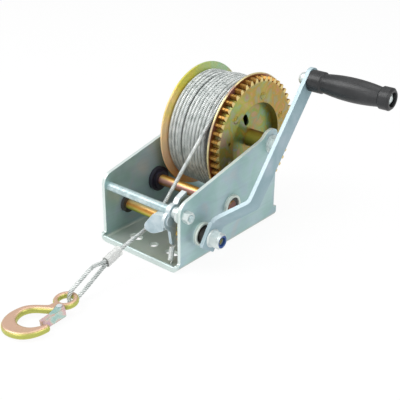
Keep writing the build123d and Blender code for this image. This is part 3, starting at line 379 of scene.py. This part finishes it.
# %% Free rope
lane = 0.0167
bend = (0.0060, -0.0704, 0.0407)
ferrule_top = (0.0120, -0.1330, 0.02867)
along = (Vector(ferrule_top) - Vector(bend)).normalized()
# The spline rounds its corners more than the rope does, so the corner is set lower and one point leads to the
# ferrule.
leaves_drum = (0.01634, 0.01988, 0.14211)
halfway = (0.01086, -0.02797, 0.08836)
corner = (0.0044, -0.0693, 0.0343)
lead_in_length = 0.014
lead_in = Vector(ferrule_top) - along * lead_in_length
free_points = [leaves_drum, halfway, corner, lead_in, ferrule_top]
rope_free, free_line = strand_rope("free_rope", line_of("free_rope_line", free_points), rope_steel)
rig.ride(rope_free, "frame")
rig.replaces(rope_free, "rope_free")
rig.slot(rope_free, "wire_rope")
free_length = sum((b - a).length for a, b in zip(free_line, free_line[1:]))
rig.cord(rope_free, exit=free_points[0], length=0.1980, diameter=rope_diameter, far_end="fitting",
        stiffness="stiff", lay="taut", path=free_line,
        with_pieces=[nodes["ferrule"], nodes["ferrule_sleeve"]])
print("free rope", round(free_length, 4), "m")

# %% [markdown]
# ## The end loop
# Below the ferrule the rope goes down to the hook, over its eye, through the hole and back under it. A round
# ring would be simpler, but a stiff rope bows where it turns. So the loop is a spline like the free rope's,
# with its points set in one upright plane through the eye.

# %% End loop
ferrule_length = 0.020
eye_half_thickness = 0.0035
eye_hole_radius = 0.007
across = Vector((0, 0, 1)).cross(along).normalized()
leg_up = along.cross(across)
ferrule_end = Vector(ferrule_top) + along * ferrule_length
eye = Vector((0.0185, -0.2125, 0.0094))
outward = Vector((ferrule_end.x - eye.x, ferrule_end.y - eye.y, 0)).normalized()


def in_loop(reach, height):
    """A point in the loop's upright plane, this far out from the hook's eye and this high."""
    return Vector((eye.x, eye.y, height)) + outward * reach


between_legs = 0.0001
clear_of_eye = 0.00065
clear_in_hole = 0.0005
leg_gap = rope_diameter / 2 + between_legs
over_eye = eye_half_thickness + rope_diameter / 2 + clear_of_eye
inside_eye = eye_hole_radius - rope_diameter / 2 - clear_in_hole
upper_leg = ferrule_end + leg_up * leg_gap
lower_leg = ferrule_end - leg_up * leg_gap
bow = [in_loop(0.040, 0.0300), in_loop(0.022, 0.0220)]
round_eye = [in_loop(inside_eye, eye.z + over_eye), in_loop(inside_eye, eye.z - over_eye),
             in_loop(0.015, eye.z - over_eye)]
loop_points = [upper_leg, upper_leg + along * rope_diameter, *bow, *round_eye,
               lower_leg + along * rope_diameter, lower_leg]
rope_loop, loop_line = strand_rope("end_loop", line_of("end_loop_line", loop_points), rope_steel)
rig.ride(rope_loop, "frame")
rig.replaces(rope_loop, "rope_loop")
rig.slot(rope_loop, "wire_rope")
loop_length = sum((b - a).length for a, b in zip(loop_line, loop_line[1:]))
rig.cord(rope_loop, exit=upper_leg, length=0.1266, diameter=rope_diameter, far_end="fitting",
        stiffness="stiff", lay="taut", path=loop_line,
        with_pieces=[nodes["hook"], nodes["latch"], nodes["latch_pin"]])
print("end loop", round(loop_length, 4), "m")

# %% [markdown]
# ## The rope on the drum
# A helix would lay the turns as evenly as a screw thread. Turns wound by hand aren't so: each runs level for
# most of its way, then steps over to the next lane, and some lanes are wide apart or ride higher. So the
# lanes are listed, one for each turn, and the rope eases from one to the next.

# %% Lanes round the drum
drum_y = 0.07281153
drum_z = 0.10140067
steps_per_turn = 90
step_over_share = 0.3


def on_drum(x, radius, angle):
    """A point round the drum's axis, with its angle from the rear."""
    return Vector((x, drum_y + radius * math.cos(angle), drum_z + radius * math.sin(angle)))


def eased(share):
    """A share from 0 to 1 that starts and ends gently."""
    share = min(max(share, 0.0), 1.0)
    return share * share * (3 - 2 * share)


def lane_points(lanes, start_angle, turns, radius):
    """Points that go back over the top of the drum, from lane to lane. A lane is its x and its lift, in
    millimetres, and the part of the turn where the rope begins to step over."""
    placed = []
    for step in range(int(turns * steps_per_turn) + 1):
        turn, share = divmod(step / steps_per_turn, 1.0)
        x, lift, leaves = lanes[int(turn)]
        next_x, next_lift, _ = lanes[int(turn) + 1]
        moved = eased((share - leaves) / step_over_share)
        lane_x = (x + (next_x - x) * moved) / 1000
        lane_radius = radius + (lift + (next_lift - lift) * moved) / 1000
        placed.append(on_drum(lane_x, lane_radius, start_angle - 2 * math.pi * step / steps_per_turn))
    return placed


# %% Turns on the drum
winding_radius = 0.0666
pitch = 0.0056
outer_turns = 10.75
drop = math.radians(48.33)
exit_angle = math.pi / 2 + drop
outer_lanes = [
    (-38.6, 0.0, 0.70), (-33.6, 0.2, 0.66), (-28.3, 0.0, 0.60), (-23.8, 0.1, 0.52), (-17.0, 0.6, 0.46),
    (-12.3, 1.1, 0.44), (-7.6, 1.5, 0.42), (-2.9, 1.3, 0.42), (1.9, 0.8, 0.46), (6.7, 0.4, 0.55),
    (11.6, 0.1, 0.60), (11.8, 0.0, 0.60),
]
outer_points = lane_points(outer_lanes, exit_angle - math.pi, outer_turns, winding_radius)
winding, _ = strand_rope("drum_winding", outer_points, rope_steel, spacing=0.002)
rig.ride(winding, "drum")
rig.replaces(winding, "rope_winding")
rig.slot(winding, "wire_rope")

leaving = (Vector(bend) - on_drum(lane, winding_radius, exit_angle)).normalized()
last_points = [on_drum(lane + pitch * step / steps_per_turn, winding_radius,
                       exit_angle - 2 * math.pi * step / steps_per_turn)
               for step in range(steps_per_turn + 1)]
last_points.insert(0, last_points[0] + leaving * rope_diameter)
last_turns, _ = strand_rope("leaving_turn", last_points, rope_steel, spacing=0.0015)
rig.ride(last_turns, "frame")
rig.replaces(last_turns, "rope_last_turns")
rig.slot(last_turns, "wire_rope")
print("outer layer:", len(outer_lanes), "lanes")

# %% Inner layer
inner_radius = 0.0614
inner_turns = 12.6
inner_start_angle = 0.4
inner_lane_count = 15
first_lane_mm = -38.6
lane_step_mm = 4.88
inner_lanes = [(first_lane_mm + lane_step_mm * turn, 0.0, 0.1 + 0.05 * (turn % 3))
               for turn in range(inner_lane_count)]
inner_points = lane_points(inner_lanes, inner_start_angle, inner_turns, inner_radius)
inner, _ = strand_rope("inner_layer", inner_points, rope_steel, spacing=0.003)
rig.ride(inner, "drum")
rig.replaces(inner, "rope_core")
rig.slot(inner, "wire_rope")
print("inner layer:", len(inner_lanes), "lanes")

# %% [markdown]
# ## Plated finishes
# Nearly all of the winch is plated steel, so one function builds what every plate has: colour that drifts in
# patches, a fine grain that changes its gloss, and edges a little rounded so that they catch the light. A
# mesh bevel would round the edges too, but it tears where the solids' triangles are long, and the Bevel node
# doesn't. The real grain is about a tenth of a millimetre, too fine to show, so it is drawn at about 1 mm.

# %% A plated metal
plate_dimple = 0.05
plate_depth = 0.0002
plate_edge = 0.0006


def grained(material, shader, place, grain, satin, dimple, depth, edge):
    """A fine grain, sized in millimetres, that changes the gloss and dimples the skin over rounded edges.
    Satin is the least and the most roughness, and depth and edge are in metres."""
    fine = put(material, "ShaderNodeTexNoise", {"Vector": place, "Scale": per_mm(grain), "Detail": 2.0})
    gloss = put(material, "ShaderNodeMapRange",
                {"Value": fine.outputs["Fac"], "From Min": 0.3, "From Max": 0.7,
                 "To Min": satin[0], "To Max": satin[1]})
    link(material, gloss.outputs["Result"], shader.inputs["Roughness"])
    rounded = put(material, "ShaderNodeBevel", {"Radius": edge}, samples=4)
    skin = put(material, "ShaderNodeBump",
               {"Height": fine.outputs["Fac"], "Strength": dimple, "Distance": depth,
                "Normal": rounded.outputs["Normal"]})
    link(material, skin.outputs["Normal"], shader.inputs["Normal"])


def plated(name, colours, patch, grain, satin, metal, measure=None, drift=0.0):
    """A plate whose colours follow its patches or, where a measure from 0 to 1 is given, that measure and
    some drift. Patch and grain are in millimetres."""
    material, shader, place = finish_named(name)
    patches = put(material, "ShaderNodeTexNoise",
                  {"Vector": place, "Scale": per_mm(patch), "Detail": 3.0, "Distortion": 0.5})
    value = patches.outputs["Fac"]
    if measure:
        shift = put(material, "ShaderNodeMapRange",
                    {"Value": value, "To Min": -drift / 2, "To Max": drift / 2})
        value = put(material, "ShaderNodeMath", {0: measure(material, place), 1: shift.outputs["Result"]},
                    operation="ADD").outputs["Value"]
    colour = put(material, "ShaderNodeValToRGB", {"Fac": value}, stops=colours).outputs["Color"]
    link(material, colour, shader.inputs["Base Color"])
    grained(material, shader, place, grain, satin, plate_dimple, plate_depth, plate_edge)
    shader.inputs["Metallic"].default_value = metal
    return material, shader, place, colour


# %% Colours laid over a plate
def overlay(material, shader, under, over, most, value=None, low=0.0, high=1.0):
    """Lays one colour over another, and shows the result. Where a value is given, the share of the upper
    colour grows from 0 to its most as the value goes from low to high."""
    share = most
    if value is not None:
        share = put(material, "ShaderNodeMapRange",
                    {"Value": value, "From Min": low, "From Max": high, "To Max": most}).outputs["Result"]
    mixed = put(material, "ShaderNodeMix", {0: share, 6: under, 7: over}, data_type="RGBA")
    link(material, mixed.outputs[2], shader.inputs["Base Color"])
    return mixed.outputs[2]


def edge_turn(material, radius, samples):
    """1 on a flat face, and less near an edge, where the softened face turns away from the true one."""
    true_face = put(material, "ShaderNodeNewGeometry")
    soft_face = put(material, "ShaderNodeBevel", {"Radius": radius}, samples=samples)
    return put(material, "ShaderNodeVectorMath",
               {0: true_face.outputs["Normal"], 1: soft_face.outputs["Normal"]},
               operation="DOT_PRODUCT").outputs["Value"]


def facing_x(material):
    """1 on faces across the shafts, and 0 on the edges cut through the sheet."""
    skin = put(material, "ShaderNodeTexCoord").outputs["Normal"]
    parts = put(material, "ShaderNodeSeparateXYZ", {"Vector": skin})
    return put(material, "ShaderNodeMath", {0: parts.outputs["X"]}, operation="ABSOLUTE").outputs["Value"]


# %% [markdown]
# ## Clear zinc
# The frame, the crank and the fasteners have a clear passivated zinc plate: pale blue-grey and satin, with
# faint green, blue and pink blushes. The sheet's cut edges, its front lip and the raised rings round the shaft
# holes are painted paler than its faces, as painted highlight. One finish does all of that, by where a point
# lies on the sheet and which way it faces.

# %% Clear zinc on the bent sheet
base_top = 0.0044
base_fades = 0.0064
wall_foot = 0.006
wall_clear = 0.009
lip_begins = -0.0884
lip_full = -0.0890
ring_begins = 0.0592
ring_full = 0.0596
sheet_zinc, shader, place, colour = plated(
    "clear_zinc_on_bent_sheet", [(0.32, "#90B0B0"), (0.50, "#A4C1C1"), (0.68, "#B4CACD")],
    patch=60, grain=1.4, satin=(0.36, 0.50), metal=0.55)
film = put(sheet_zinc, "ShaderNodeTexNoise",
           {"Vector": place, "Scale": per_mm(30), "Detail": 2.0, "Distortion": 0.8})
blush = put(sheet_zinc, "ShaderNodeValToRGB", {"Fac": film.outputs["Fac"]},
            stops=[(0.36, "#98BFB4"), (0.50, "#A8C4C4"), (0.60, "#AABCCB"), (0.72, "#BDB7BE")])
colour = overlay(sheet_zinc, shader, colour, blush.outputs["Color"], 0.4)
rolled = put(sheet_zinc, "ShaderNodeMapping", {"Vector": place, "Scale": (1.0, 0.04, 1.0)})
streaks = put(sheet_zinc, "ShaderNodeTexNoise",
              {"Vector": rolled.outputs["Vector"], "Scale": per_mm(3), "Detail": 2.0})
colour = overlay(sheet_zinc, shader, colour, tint("#8FA1A4"), 0.22, streaks.outputs["Fac"], 0.4, 0.75)
spot = put(sheet_zinc, "ShaderNodeSeparateXYZ", {"Vector": place})
colour = overlay(sheet_zinc, shader, colour, tint("#B8BCB0"), 0.7, spot.outputs["Z"], base_fades, base_top)
# The walls' cut edges above the base are painted pale, as painted highlight.
above_base = put(sheet_zinc, "ShaderNodeMapRange",
                 {"Value": spot.outputs["Z"], "From Min": wall_foot, "From Max": wall_clear, "To Max": 0.8})
colour = overlay(sheet_zinc, shader, colour, tint("#E3ECE8"), above_base.outputs["Result"],
                 facing_x(sheet_zinc), 0.6, 0.2)
# The front lip is painted paler, as painted light.
colour = overlay(sheet_zinc, shader, colour, tint("#D2DFDC"), 0.75, spot.outputs["Y"], lip_begins, lip_full)
# The raised rings round the shaft holes are painted paler, as painted highlight.
colour = overlay(sheet_zinc, shader, colour, tint("#DEE4DA"), 0.8, spot.outputs["X"], ring_begins, ring_full)
# Every edge of the sheet is painted paler, as painted highlight.
overlay(sheet_zinc, shader, colour, tint("#DDEAE8"), 0.7, edge_turn(sheet_zinc, 0.0014, 4), 0.97, 0.80)
print("sheet finish:", len(sheet_zinc.node_tree.nodes), "nodes")

# %% Clear zinc on bars, stampings and fasteners
# Drawn bar has small patches, and a sheen that changes along it.
bar_zinc, _, _, _ = plated(
    "clear_zinc_on_drawn_bar", [(0.35, "#A4BABD"), (0.5, "#B6C9CB"), (0.66, "#C8D6D7")],
    patch=5, grain=0.8, satin=(0.30, 0.50), metal=0.5)
# The crank is bent strip: duller and bluer on its faces, and painted pale on its edges, as painted highlight.
arm_zinc, shader, _, colour = plated(
    "clear_zinc_on_crank", [(0.32, "#8BA6AE"), (0.5, "#99B1B9"), (0.68, "#ABBAC4")],
    patch=40, grain=1.2, satin=(0.50, 0.64), metal=0.4)
overlay(arm_zinc, shader, colour, tint("#CEDDE2"), 0.6, facing_x(arm_zinc), 0.6, 0.3)
# The pawl is a stamping, painted paler on its upward faces and along its edges, as painted highlight.
stamped_zinc, shader, _, colour = plated(
    "clear_zinc_on_stamping", [(0.34, "#AABEC6"), (0.5, "#B9CAD1"), (0.66, "#C8D5DA")],
    patch=12, grain=1.0, satin=(0.30, 0.44), metal=0.5)
skin = put(stamped_zinc, "ShaderNodeSeparateXYZ",
           {"Vector": put(stamped_zinc, "ShaderNodeTexCoord").outputs["Normal"]})
colour = overlay(stamped_zinc, shader, colour, tint("#EAF0F0"), 0.7, skin.outputs["Z"], 0.1, 0.5)
overlay(stamped_zinc, shader, colour, tint("#F0F5F4"), 0.7, edge_turn(stamped_zinc, 0.0012, 4), 0.98, 0.86)
# Bolts and nuts are tumbled while they are plated, which leaves them bright. Spring wire is almost white, painted
# paler partly as painted light on its thin coils.
bolt_zinc, _, _, _ = plated(
    "bright_zinc_on_fasteners", [(0.34, "#C3CECD"), (0.5, "#D5DEDD"), (0.66, "#E4EAE8")],
    patch=9, grain=0.9, satin=(0.30, 0.44), metal=0.6)
spring_zinc, _, _, _ = plated(
    "bright_zinc_on_spring_wire", [(0.34, "#DDE3E1"), (0.5, "#EBEFED"), (0.66, "#F4F6F5")],
    patch=4, grain=0.7, satin=(0.30, 0.42), metal=0.3)
print("clear zinc finishes made")

# %% [markdown]
# ## Yellow chromate
# The drum, the gears and the shafts have a chromate over the zinc. Its film is as thin as a wave of light, so
# it shows gold, green and pink where it is thicker or thinner. The film drained and dried one way round each
# piece, so its colours are laid by the angle round a shaft or the distance from it, with patches on top. A
# list of colours by angle ends with its first one, so that no seam shows behind the shaft.

# %% Places about a shaft
def about(y, z, reach):
    """A measure of the distance from a shaft: 0 on its axis and 1 at this reach, in metres."""
    def measure(material, place):
        moved = put(material, "ShaderNodeVectorMath", {0: place, 1: (0, y, z)}, operation="SUBTRACT")
        level = put(material, "ShaderNodeVectorMath",
                    {0: moved.outputs["Vector"], 1: (0, 1 / reach, 1 / reach)}, operation="MULTIPLY")
        return put(material, "ShaderNodeVectorMath", {0: level.outputs["Vector"]},
                   operation="LENGTH").outputs["Value"]
    return measure


def around(y, z):
    """A measure of the angle round a shaft: 0.5 at the front, 0.75 on top and 0.25 below."""
    def measure(material, place):
        moved = put(material, "ShaderNodeVectorMath", {0: place, 1: (0, y, z)}, operation="SUBTRACT")
        parts = put(material, "ShaderNodeSeparateXYZ", {"Vector": moved.outputs["Vector"]})
        front = put(material, "ShaderNodeMath", {0: parts.outputs["Y"], 1: -1.0}, operation="MULTIPLY")
        angle = put(material, "ShaderNodeMath", {0: parts.outputs["Z"], 1: front.outputs["Value"]},
                    operation="ARCTAN2")
        turned = put(material, "ShaderNodeMapRange",
                     {"Value": angle.outputs["Value"], "From Min": -math.pi, "From Max": math.pi})
        return turned.outputs["Result"]
    return measure


# %% Chromate on the drum
def rainbow(material, shader, place, colour, patch, most):
    """Lays a mottle of the film's colours over a plate, in patches of this many millimetres."""
    mottle = put(material, "ShaderNodeTexNoise",
                 {"Vector": place, "Scale": per_mm(patch), "Detail": 3.0, "Distortion": 1.2})
    film = put(material, "ShaderNodeValToRGB", {"Fac": mottle.outputs["Fac"]},
               stops=[(0.34, "#CF9A86"), (0.42, "#C9A24A"), (0.49, "#A3A84A"), (0.55, "#8FB07C"),
                      (0.62, "#8CB0AC"), (0.70, "#B493A6")])
    return overlay(material, shader, colour, film.outputs["Color"], most)


measured_reach = 0.08
drum_round = around(drum_y, drum_z)
drum_reach = about(drum_y, drum_z, measured_reach)
# The left flange is orange below, peach at the front, yellow above that, and green on top and behind.
left_gold, shader, place, colour = plated(
    "yellow_chromate_on_left_flange",
    [(0.10, "#AEB478"), (0.20, "#A89A5C"), (0.28, "#B07A3A"), (0.37, "#F0983C"), (0.46, "#F8CDAA"),
     (0.55, "#F6D09A"), (0.64, "#E0CC44"), (0.74, "#BECB66"), (0.82, "#9CC49C"), (0.90, "#AEB478")],
    patch=30, grain=1.0, satin=(0.28, 0.40), metal=0.35, measure=drum_round, drift=0.16)
rainbow(left_gold, shader, place, colour, 16, 0.15)
# The right flange is green round its hub, with pink patches and a pale rim; under the gear and between its teeth it is
# painted brown, as painted shade.
right_gold, shader, place, colour = plated(
    "yellow_chromate_on_right_flange",
    [(0.13, "#B8703E"), (0.20, "#93A058"), (0.46, "#7D9752"), (0.56, "#6A5A26"), (0.84, "#7E4E1C"),
     (0.946, "#8A5430"), (0.958, "#E6D7A0"), (1.0, "#EFE3B8")],
    patch=16, grain=1.0, satin=(0.29, 0.42), metal=0.7, measure=drum_reach, drift=0.012)
patches = put(right_gold, "ShaderNodeTexNoise", {"Vector": place, "Scale": per_mm(24), "Detail": 2.0})
colour = overlay(right_gold, shader, colour, tint("#A87480"), 0.7, patches.outputs["Fac"], 0.52, 0.66)
near_hub = put(right_gold, "ShaderNodeMapRange",
               {"Value": drum_reach(right_gold, place), "From Min": 0.62, "From Max": 0.55, "To Max": 0.45})
rainbow(right_gold, shader, place, colour, 14, near_hub.outputs["Result"])
print("flange finishes made")

# %% Chromate on the ring gear
# The gear is gold, greener at its upper front. Its teeth are pale on their ends, with painted shade in dark brown deep
# in the gaps, and the bore in its hub is painted a darker olive, as painted shade.
gear_gold, shader, place, colour = plated(
    "yellow_chromate_on_ring_gear",
    [(0.22, "#A87E38"), (0.42, "#94702A"), (0.54, "#9A7E32"), (0.63, "#929C46"), (0.70, "#A2A64E"),
     (0.79, "#A87E38")],
    patch=26, grain=1.1, satin=(0.28, 0.42), metal=0.65, measure=drum_round, drift=0.4)
colour = rainbow(gear_gold, shader, place, colour, 14, 0.35)
reach = drum_reach(gear_gold, place)
# Deep in the tooth gaps the flanks are painted dark brown, as painted shade.
flank = put(gear_gold, "ShaderNodeValToRGB", {"Fac": reach}, stops=[(0.868, "#5C3614"), (0.895, "#A47A38")])
tooth = overlay(gear_gold, shader, flank.outputs["Color"], tint("#E4CC88"), 1.0,
                facing_x(gear_gold), 0.2, 0.7)
colour = overlay(gear_gold, shader, colour, tooth, 1.0, reach, 0.855, 0.875)
# The bore inside the hub is painted a darker olive, as painted shade in the recess.
overlay(gear_gold, shader, colour, tint("#83702E"), 1.0, reach, 0.556, 0.552)
print("gear finish:", len(gear_gold.node_tree.nodes), "nodes")

# %% Chromate on the shafts and small pieces
intermediate_round = around(0.0, 0.0485)
crank_round = around(-0.05206115, 0.03415997)
# The rear shaft is brown gold with pink bands along it, bright yellow bands on its upper side that are painted
# highlights, and a dark cut end.
rear_shaft, shader, _, colour = plated(
    "yellow_chromate_on_rear_shaft",
    [(0.34, "#6A4018"), (0.45, "#B07A3A"), (0.52, "#BE8A82"), (0.60, "#D6A090"), (0.67, "#EEC66A"),
     (0.74, "#B87828"), (0.80, "#DCAC50"), (0.88, "#6A4018")],
    patch=20, grain=0.9, satin=(0.30, 0.42), metal=0.7, measure=intermediate_round, drift=0.06)
overlay(rear_shaft, shader, colour, tint("#6E4C44"), 1.0, facing_x(rear_shaft), 0.6, 0.8)
# The front shaft is greener, with one orange band, and its cut end is olive.
front_shaft, shader, _, colour = plated(
    "yellow_chromate_on_front_shaft",
    [(0.34, "#6A7A28"), (0.42, "#A5B53A"), (0.50, "#D9C060"), (0.58, "#D58E3C"), (0.66, "#D8B272"),
     (0.78, "#CDC596"), (0.88, "#6A7A28")],
    patch=20, grain=0.9, satin=(0.30, 0.42), metal=0.7, measure=crank_round, drift=0.06)
overlay(front_shaft, shader, colour, tint("#B9B45C"), 1.0, facing_x(front_shaft), 0.6, 0.8)
# The sleeve on the axle is olive with a brown band on top, and the small pieces are gold to pink.
sleeve_gold, _, _, _ = plated(
    "yellow_chromate_on_axle_sleeve",
    [(0.30, "#8C8A34"), (0.52, "#C6C260"), (0.66, "#BCA648"), (0.75, "#7A4C1E"), (0.84, "#A8923C"),
     (0.94, "#8C8A34")],
    patch=20, grain=0.9, satin=(0.30, 0.42), metal=0.7, measure=drum_round, drift=0.08)
small_gold, _, _, _ = plated(
    "yellow_chromate_on_small_pieces", [(0.32, "#B39A4C"), (0.5, "#CBA95C"), (0.66, "#CF9E78")],
    patch=18, grain=0.9, satin=(0.30, 0.42), metal=0.7)
print("yellow chromate finishes made")

# %% [markdown]
# ## The hook's finish
# The hook is a forging, barrelled before it was plated, so its skin is softly dimpled. Its flat sides came
# out pink and its rounded edges yellow-green, so the colour follows which way the skin faces, measured on the
# hook itself. The latch is folded sheet, with a yellow-brown line laid along its fold and edges.

# %% Chromate on the hook and latch
hook_thickness_way = (-0.0175, -0.0675, 0.9976)


def flatness(material, _):
    """1 where the hook's skin faces along its thickness, and 0 where it faces sideways."""
    skin = put(material, "ShaderNodeTexCoord").outputs["Normal"]
    lined = put(material, "ShaderNodeVectorMath", {0: skin, 1: hook_thickness_way}, operation="DOT_PRODUCT")
    return put(material, "ShaderNodeMath", {0: lined.outputs["Value"]}, operation="ABSOLUTE").outputs["Value"]


hook_gold, _, _, _ = plated(
    "yellow_chromate_on_forging",
    [(0.10, "#B2B65A"), (0.55, "#C6C56A"), (0.80, "#CBB184"), (0.98, "#D6B29A")],
    patch=14, grain=1.6, satin=(0.28, 0.42), metal=0.5, measure=flatness, drift=0.3)
latch_gold, shader, _, colour = plated(
    "yellow_chromate_on_latch",
    [(0.34, "#9CC2BC"), (0.46, "#B9CFC6"), (0.55, "#D9BDB4"), (0.68, "#C8A6B8")],
    patch=12, grain=0.8, satin=(0.30, 0.42), metal=0.5)
overlay(latch_gold, shader, colour, tint("#B08A3C"), 0.8, edge_turn(latch_gold, 0.0010, 8), 0.97, 0.80)
print("hook and latch finishes made")

# %% [markdown]
# ## Plastics, ferrule and sleeve
# The bushes and the grip are moulded, with the fine grain of a spark-eroded mould. The locking ring is nylon.
# The crimped ferrule is aluminium in a shrunk sleeve that is clear but cloudy.

# %% Moulded plastics
mould_depth = 0.0003
mould_edge = 0.0005


def moulded(name, colours, patch, grain, satin, dimple):
    """A moulded plastic with slow changes of colour and a grained skin. Patch and grain are in
    millimetres."""
    material, shader, place = finish_named(name)
    patches = put(material, "ShaderNodeTexNoise", {"Vector": place, "Scale": per_mm(patch), "Detail": 2.0})
    colour = put(material, "ShaderNodeValToRGB", {"Fac": patches.outputs["Fac"]}, stops=colours)
    link(material, colour.outputs["Color"], shader.inputs["Base Color"])
    grained(material, shader, place, grain, satin, dimple, mould_depth, mould_edge)
    return material, shader


# The bushes are satin, one blue-black and the others grey-black. The grip has a stronger grain.
rear_nylon, _ = moulded("navy_black_moulded_nylon", [(0.35, "#17131F"), (0.65, "#221D2C")],
                        patch=8, grain=0.8, satin=(0.34, 0.5), dimple=0.1)
front_nylon, _ = moulded("grey_black_moulded_nylon", [(0.35, "#2A2725"), (0.65, "#3A3734")],
                         patch=8, grain=0.8, satin=(0.38, 0.55), dimple=0.1)
black_grip, _ = moulded("black_moulded_grip", [(0.35, "#1A1B1D"), (0.65, "#262729")],
                        patch=18, grain=1.1, satin=(0.32, 0.46), dimple=0.22)
blue_nylon, _ = moulded("blue_nylon", [(0.35, "#123A78"), (0.65, "#1B4C96")],
                        patch=4, grain=0.7, satin=(0.3, 0.42), dimple=0.06)
print("plastic finishes made")

# %% Ferrule and its sleeve
def down_ferrule(material, place):
    """0 at the ferrule's upper end and 1 at its lower end, where the loop begins."""
    moved = put(material, "ShaderNodeVectorMath", {0: place, 1: Vector(ferrule_top)}, operation="SUBTRACT")
    return put(material, "ShaderNodeVectorMath", {0: moved.outputs["Vector"], 1: along / ferrule_length},
               operation="DOT_PRODUCT").outputs["Value"]


# The jaws of the crimping tool left bright lands with dull grooves between them.
ferrule_metal, _, _, _ = plated(
    "crimped_aluminium",
    [(0.02, "#6E706E"), (0.12, "#C6C8C5"), (0.26, "#EDEEEC"), (0.38, "#9EA09D"), (0.50, "#E6E7E5"),
     (0.62, "#EDEEEC"), (0.74, "#A4A6A3"), (0.86, "#E6E7E5"), (0.98, "#8A8C89")],
    patch=4, grain=0.8, satin=(0.3, 0.46), metal=0.3, measure=down_ferrule, drift=0.06)
clear_plastic, shader = moulded("clear_shrunk_sleeve", [(0.35, "#F0F2F0"), (0.65, "#FAFBF9")],
                                patch=6, grain=1.6, satin=(0.14, 0.26), dimple=0.05)
shader.inputs["Transmission Weight"].default_value = 0.45
shader.inputs["IOR"].default_value = 1.46
print("ferrule and sleeve finishes made")

# %% Hand the finishes to the solids
finish_of_slot = {
    "clear_zinc": bolt_zinc, "yellow_zinc": small_gold, "hook_zinc": hook_gold,
    "black_plastic": front_nylon, "black_grip": black_grip, "blue_nylon": blue_nylon,
    "wire_rope": rope_steel, "ferrule_metal": ferrule_metal, "clear_plastic": clear_plastic,
}
finish_of_node = {
    "winch_frame": sheet_zinc, "tie_rod": bar_zinc, "crank_arm": arm_zinc, "pawl": stamped_zinc,
    "latch_pin": stamped_zinc, "pawl_spring": spring_zinc, "latch": latch_gold,
    "drum_left_flange": left_gold, "drum_right_flange": right_gold, "drum_gear": gear_gold,
    "gear_rivets": gear_gold, "axle_sleeve": sleeve_gold, "intermediate_shaft": rear_shaft,
    "crank_shaft": front_shaft, "intermediate_bush_left": rear_nylon,
}
for entry in frame["record"]["subparts"]:
    piece = nodes[entry["node"]]
    piece.data.materials.clear()
    piece.data.materials.append(finish_of_node.get(entry["node"], finish_of_slot[entry["material_slot"]]))
print("solids with a finish of their own:", len(finish_of_node))

# %% [markdown]
# ## Floor and light
# The winch stands on a plain white floor. The floor shows as white to the camera and in the metal, and keeps
# a soft shadow. Four soft lamps light the winch: the strongest from the upper left, and weaker ones from the
# right, the front and above.

# %% White floor
floor_half_width = 8.0
floor_drop = 0.0002
white_share = 0.92
floor_white, shader, _ = finish_named("white_floor")
shader.inputs["Base Color"].default_value = tint("#F4F4F4")
shader.inputs["Roughness"].default_value = 0.9
rays = put(floor_white, "ShaderNodeLightPath")
seen = put(floor_white, "ShaderNodeMath",
           {0: rays.outputs["Is Camera Ray"], 1: rays.outputs["Is Glossy Ray"]}, operation="MAXIMUM")
seen = put(floor_white, "ShaderNodeMath",
           {0: seen.outputs["Value"], 1: rays.outputs["Is Transmission Ray"]}, operation="MAXIMUM")
share = put(floor_white, "ShaderNodeMath", {0: seen.outputs["Value"], 1: white_share}, operation="MULTIPLY")
glow = put(floor_white, "ShaderNodeEmission", {"Color": (1, 1, 1, 1), "Strength": 1.0})
mixed = put(floor_white, "ShaderNodeMixShader",
            {0: share.outputs["Value"], 1: shader.outputs["BSDF"], 2: glow.outputs["Emission"]})
output = [n for n in floor_white.node_tree.nodes if n.type == "OUTPUT_MATERIAL"][0]
link(floor_white, mixed.outputs["Shader"], output.inputs["Surface"])
sheet = bmesh.new()
bmesh.ops.create_grid(sheet, x_segments=1, y_segments=1, size=floor_half_width)
floor_data = bpy.data.meshes.new("floor")
sheet.to_mesh(floor_data)
sheet.free()
floor_data.materials.append(floor_white)
floor = bpy.data.objects.new("floor", floor_data)
floor.location.z = -floor_drop
bpy.context.scene.collection.objects.link(floor)
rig.stage(floor)
print("floor", 2 * floor_half_width, "m wide")

# %% Studio light
world_strength = 0.5
world = bpy.data.worlds.new("studio")
world.use_nodes = True
bpy.context.scene.world = world
world.node_tree.nodes["Background"].inputs["Color"].default_value = (1, 1, 1, 1)
world.node_tree.nodes["Background"].inputs["Strength"].default_value = world_strength


def lamp(name, place, target, size, power):
    """A square soft lamp that shines from a place to a target."""
    data = bpy.data.lights.new(name, "AREA")
    data.size = size
    data.energy = power
    made = bpy.data.objects.new(name, data)
    made.location = place
    made.rotation_euler = (Vector(target) - Vector(place)).to_track_quat("-Z", "Y").to_euler()
    bpy.context.scene.collection.objects.link(made)


lamp("key_lamp", (-0.9, -1.0, 1.6), (0, 0, 0.05), size=1.2, power=22)
lamp("fill_lamp", (1.4, -0.3, 1.0), (0, 0, 0.05), size=1.0, power=8)
lamp("front_lamp", (0.1, -1.6, 0.7), (0, -0.05, 0.03), size=0.9, power=6)
lamp("top_lamp", (0.1, 0.4, 1.8), (0, 0, 0.05), size=1.4, power=10)
print("light all round:", world_strength)

# %% Measure and finish
visual_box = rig.bounds()
with open("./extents.json", "w") as handle:
    json.dump({"cad": [list(corner) for corner in cad_box], "visual": [list(corner) for corner in visual_box]}, handle)
print("visual box:", [[round(v, 4) for v in corner] for corner in visual_box])
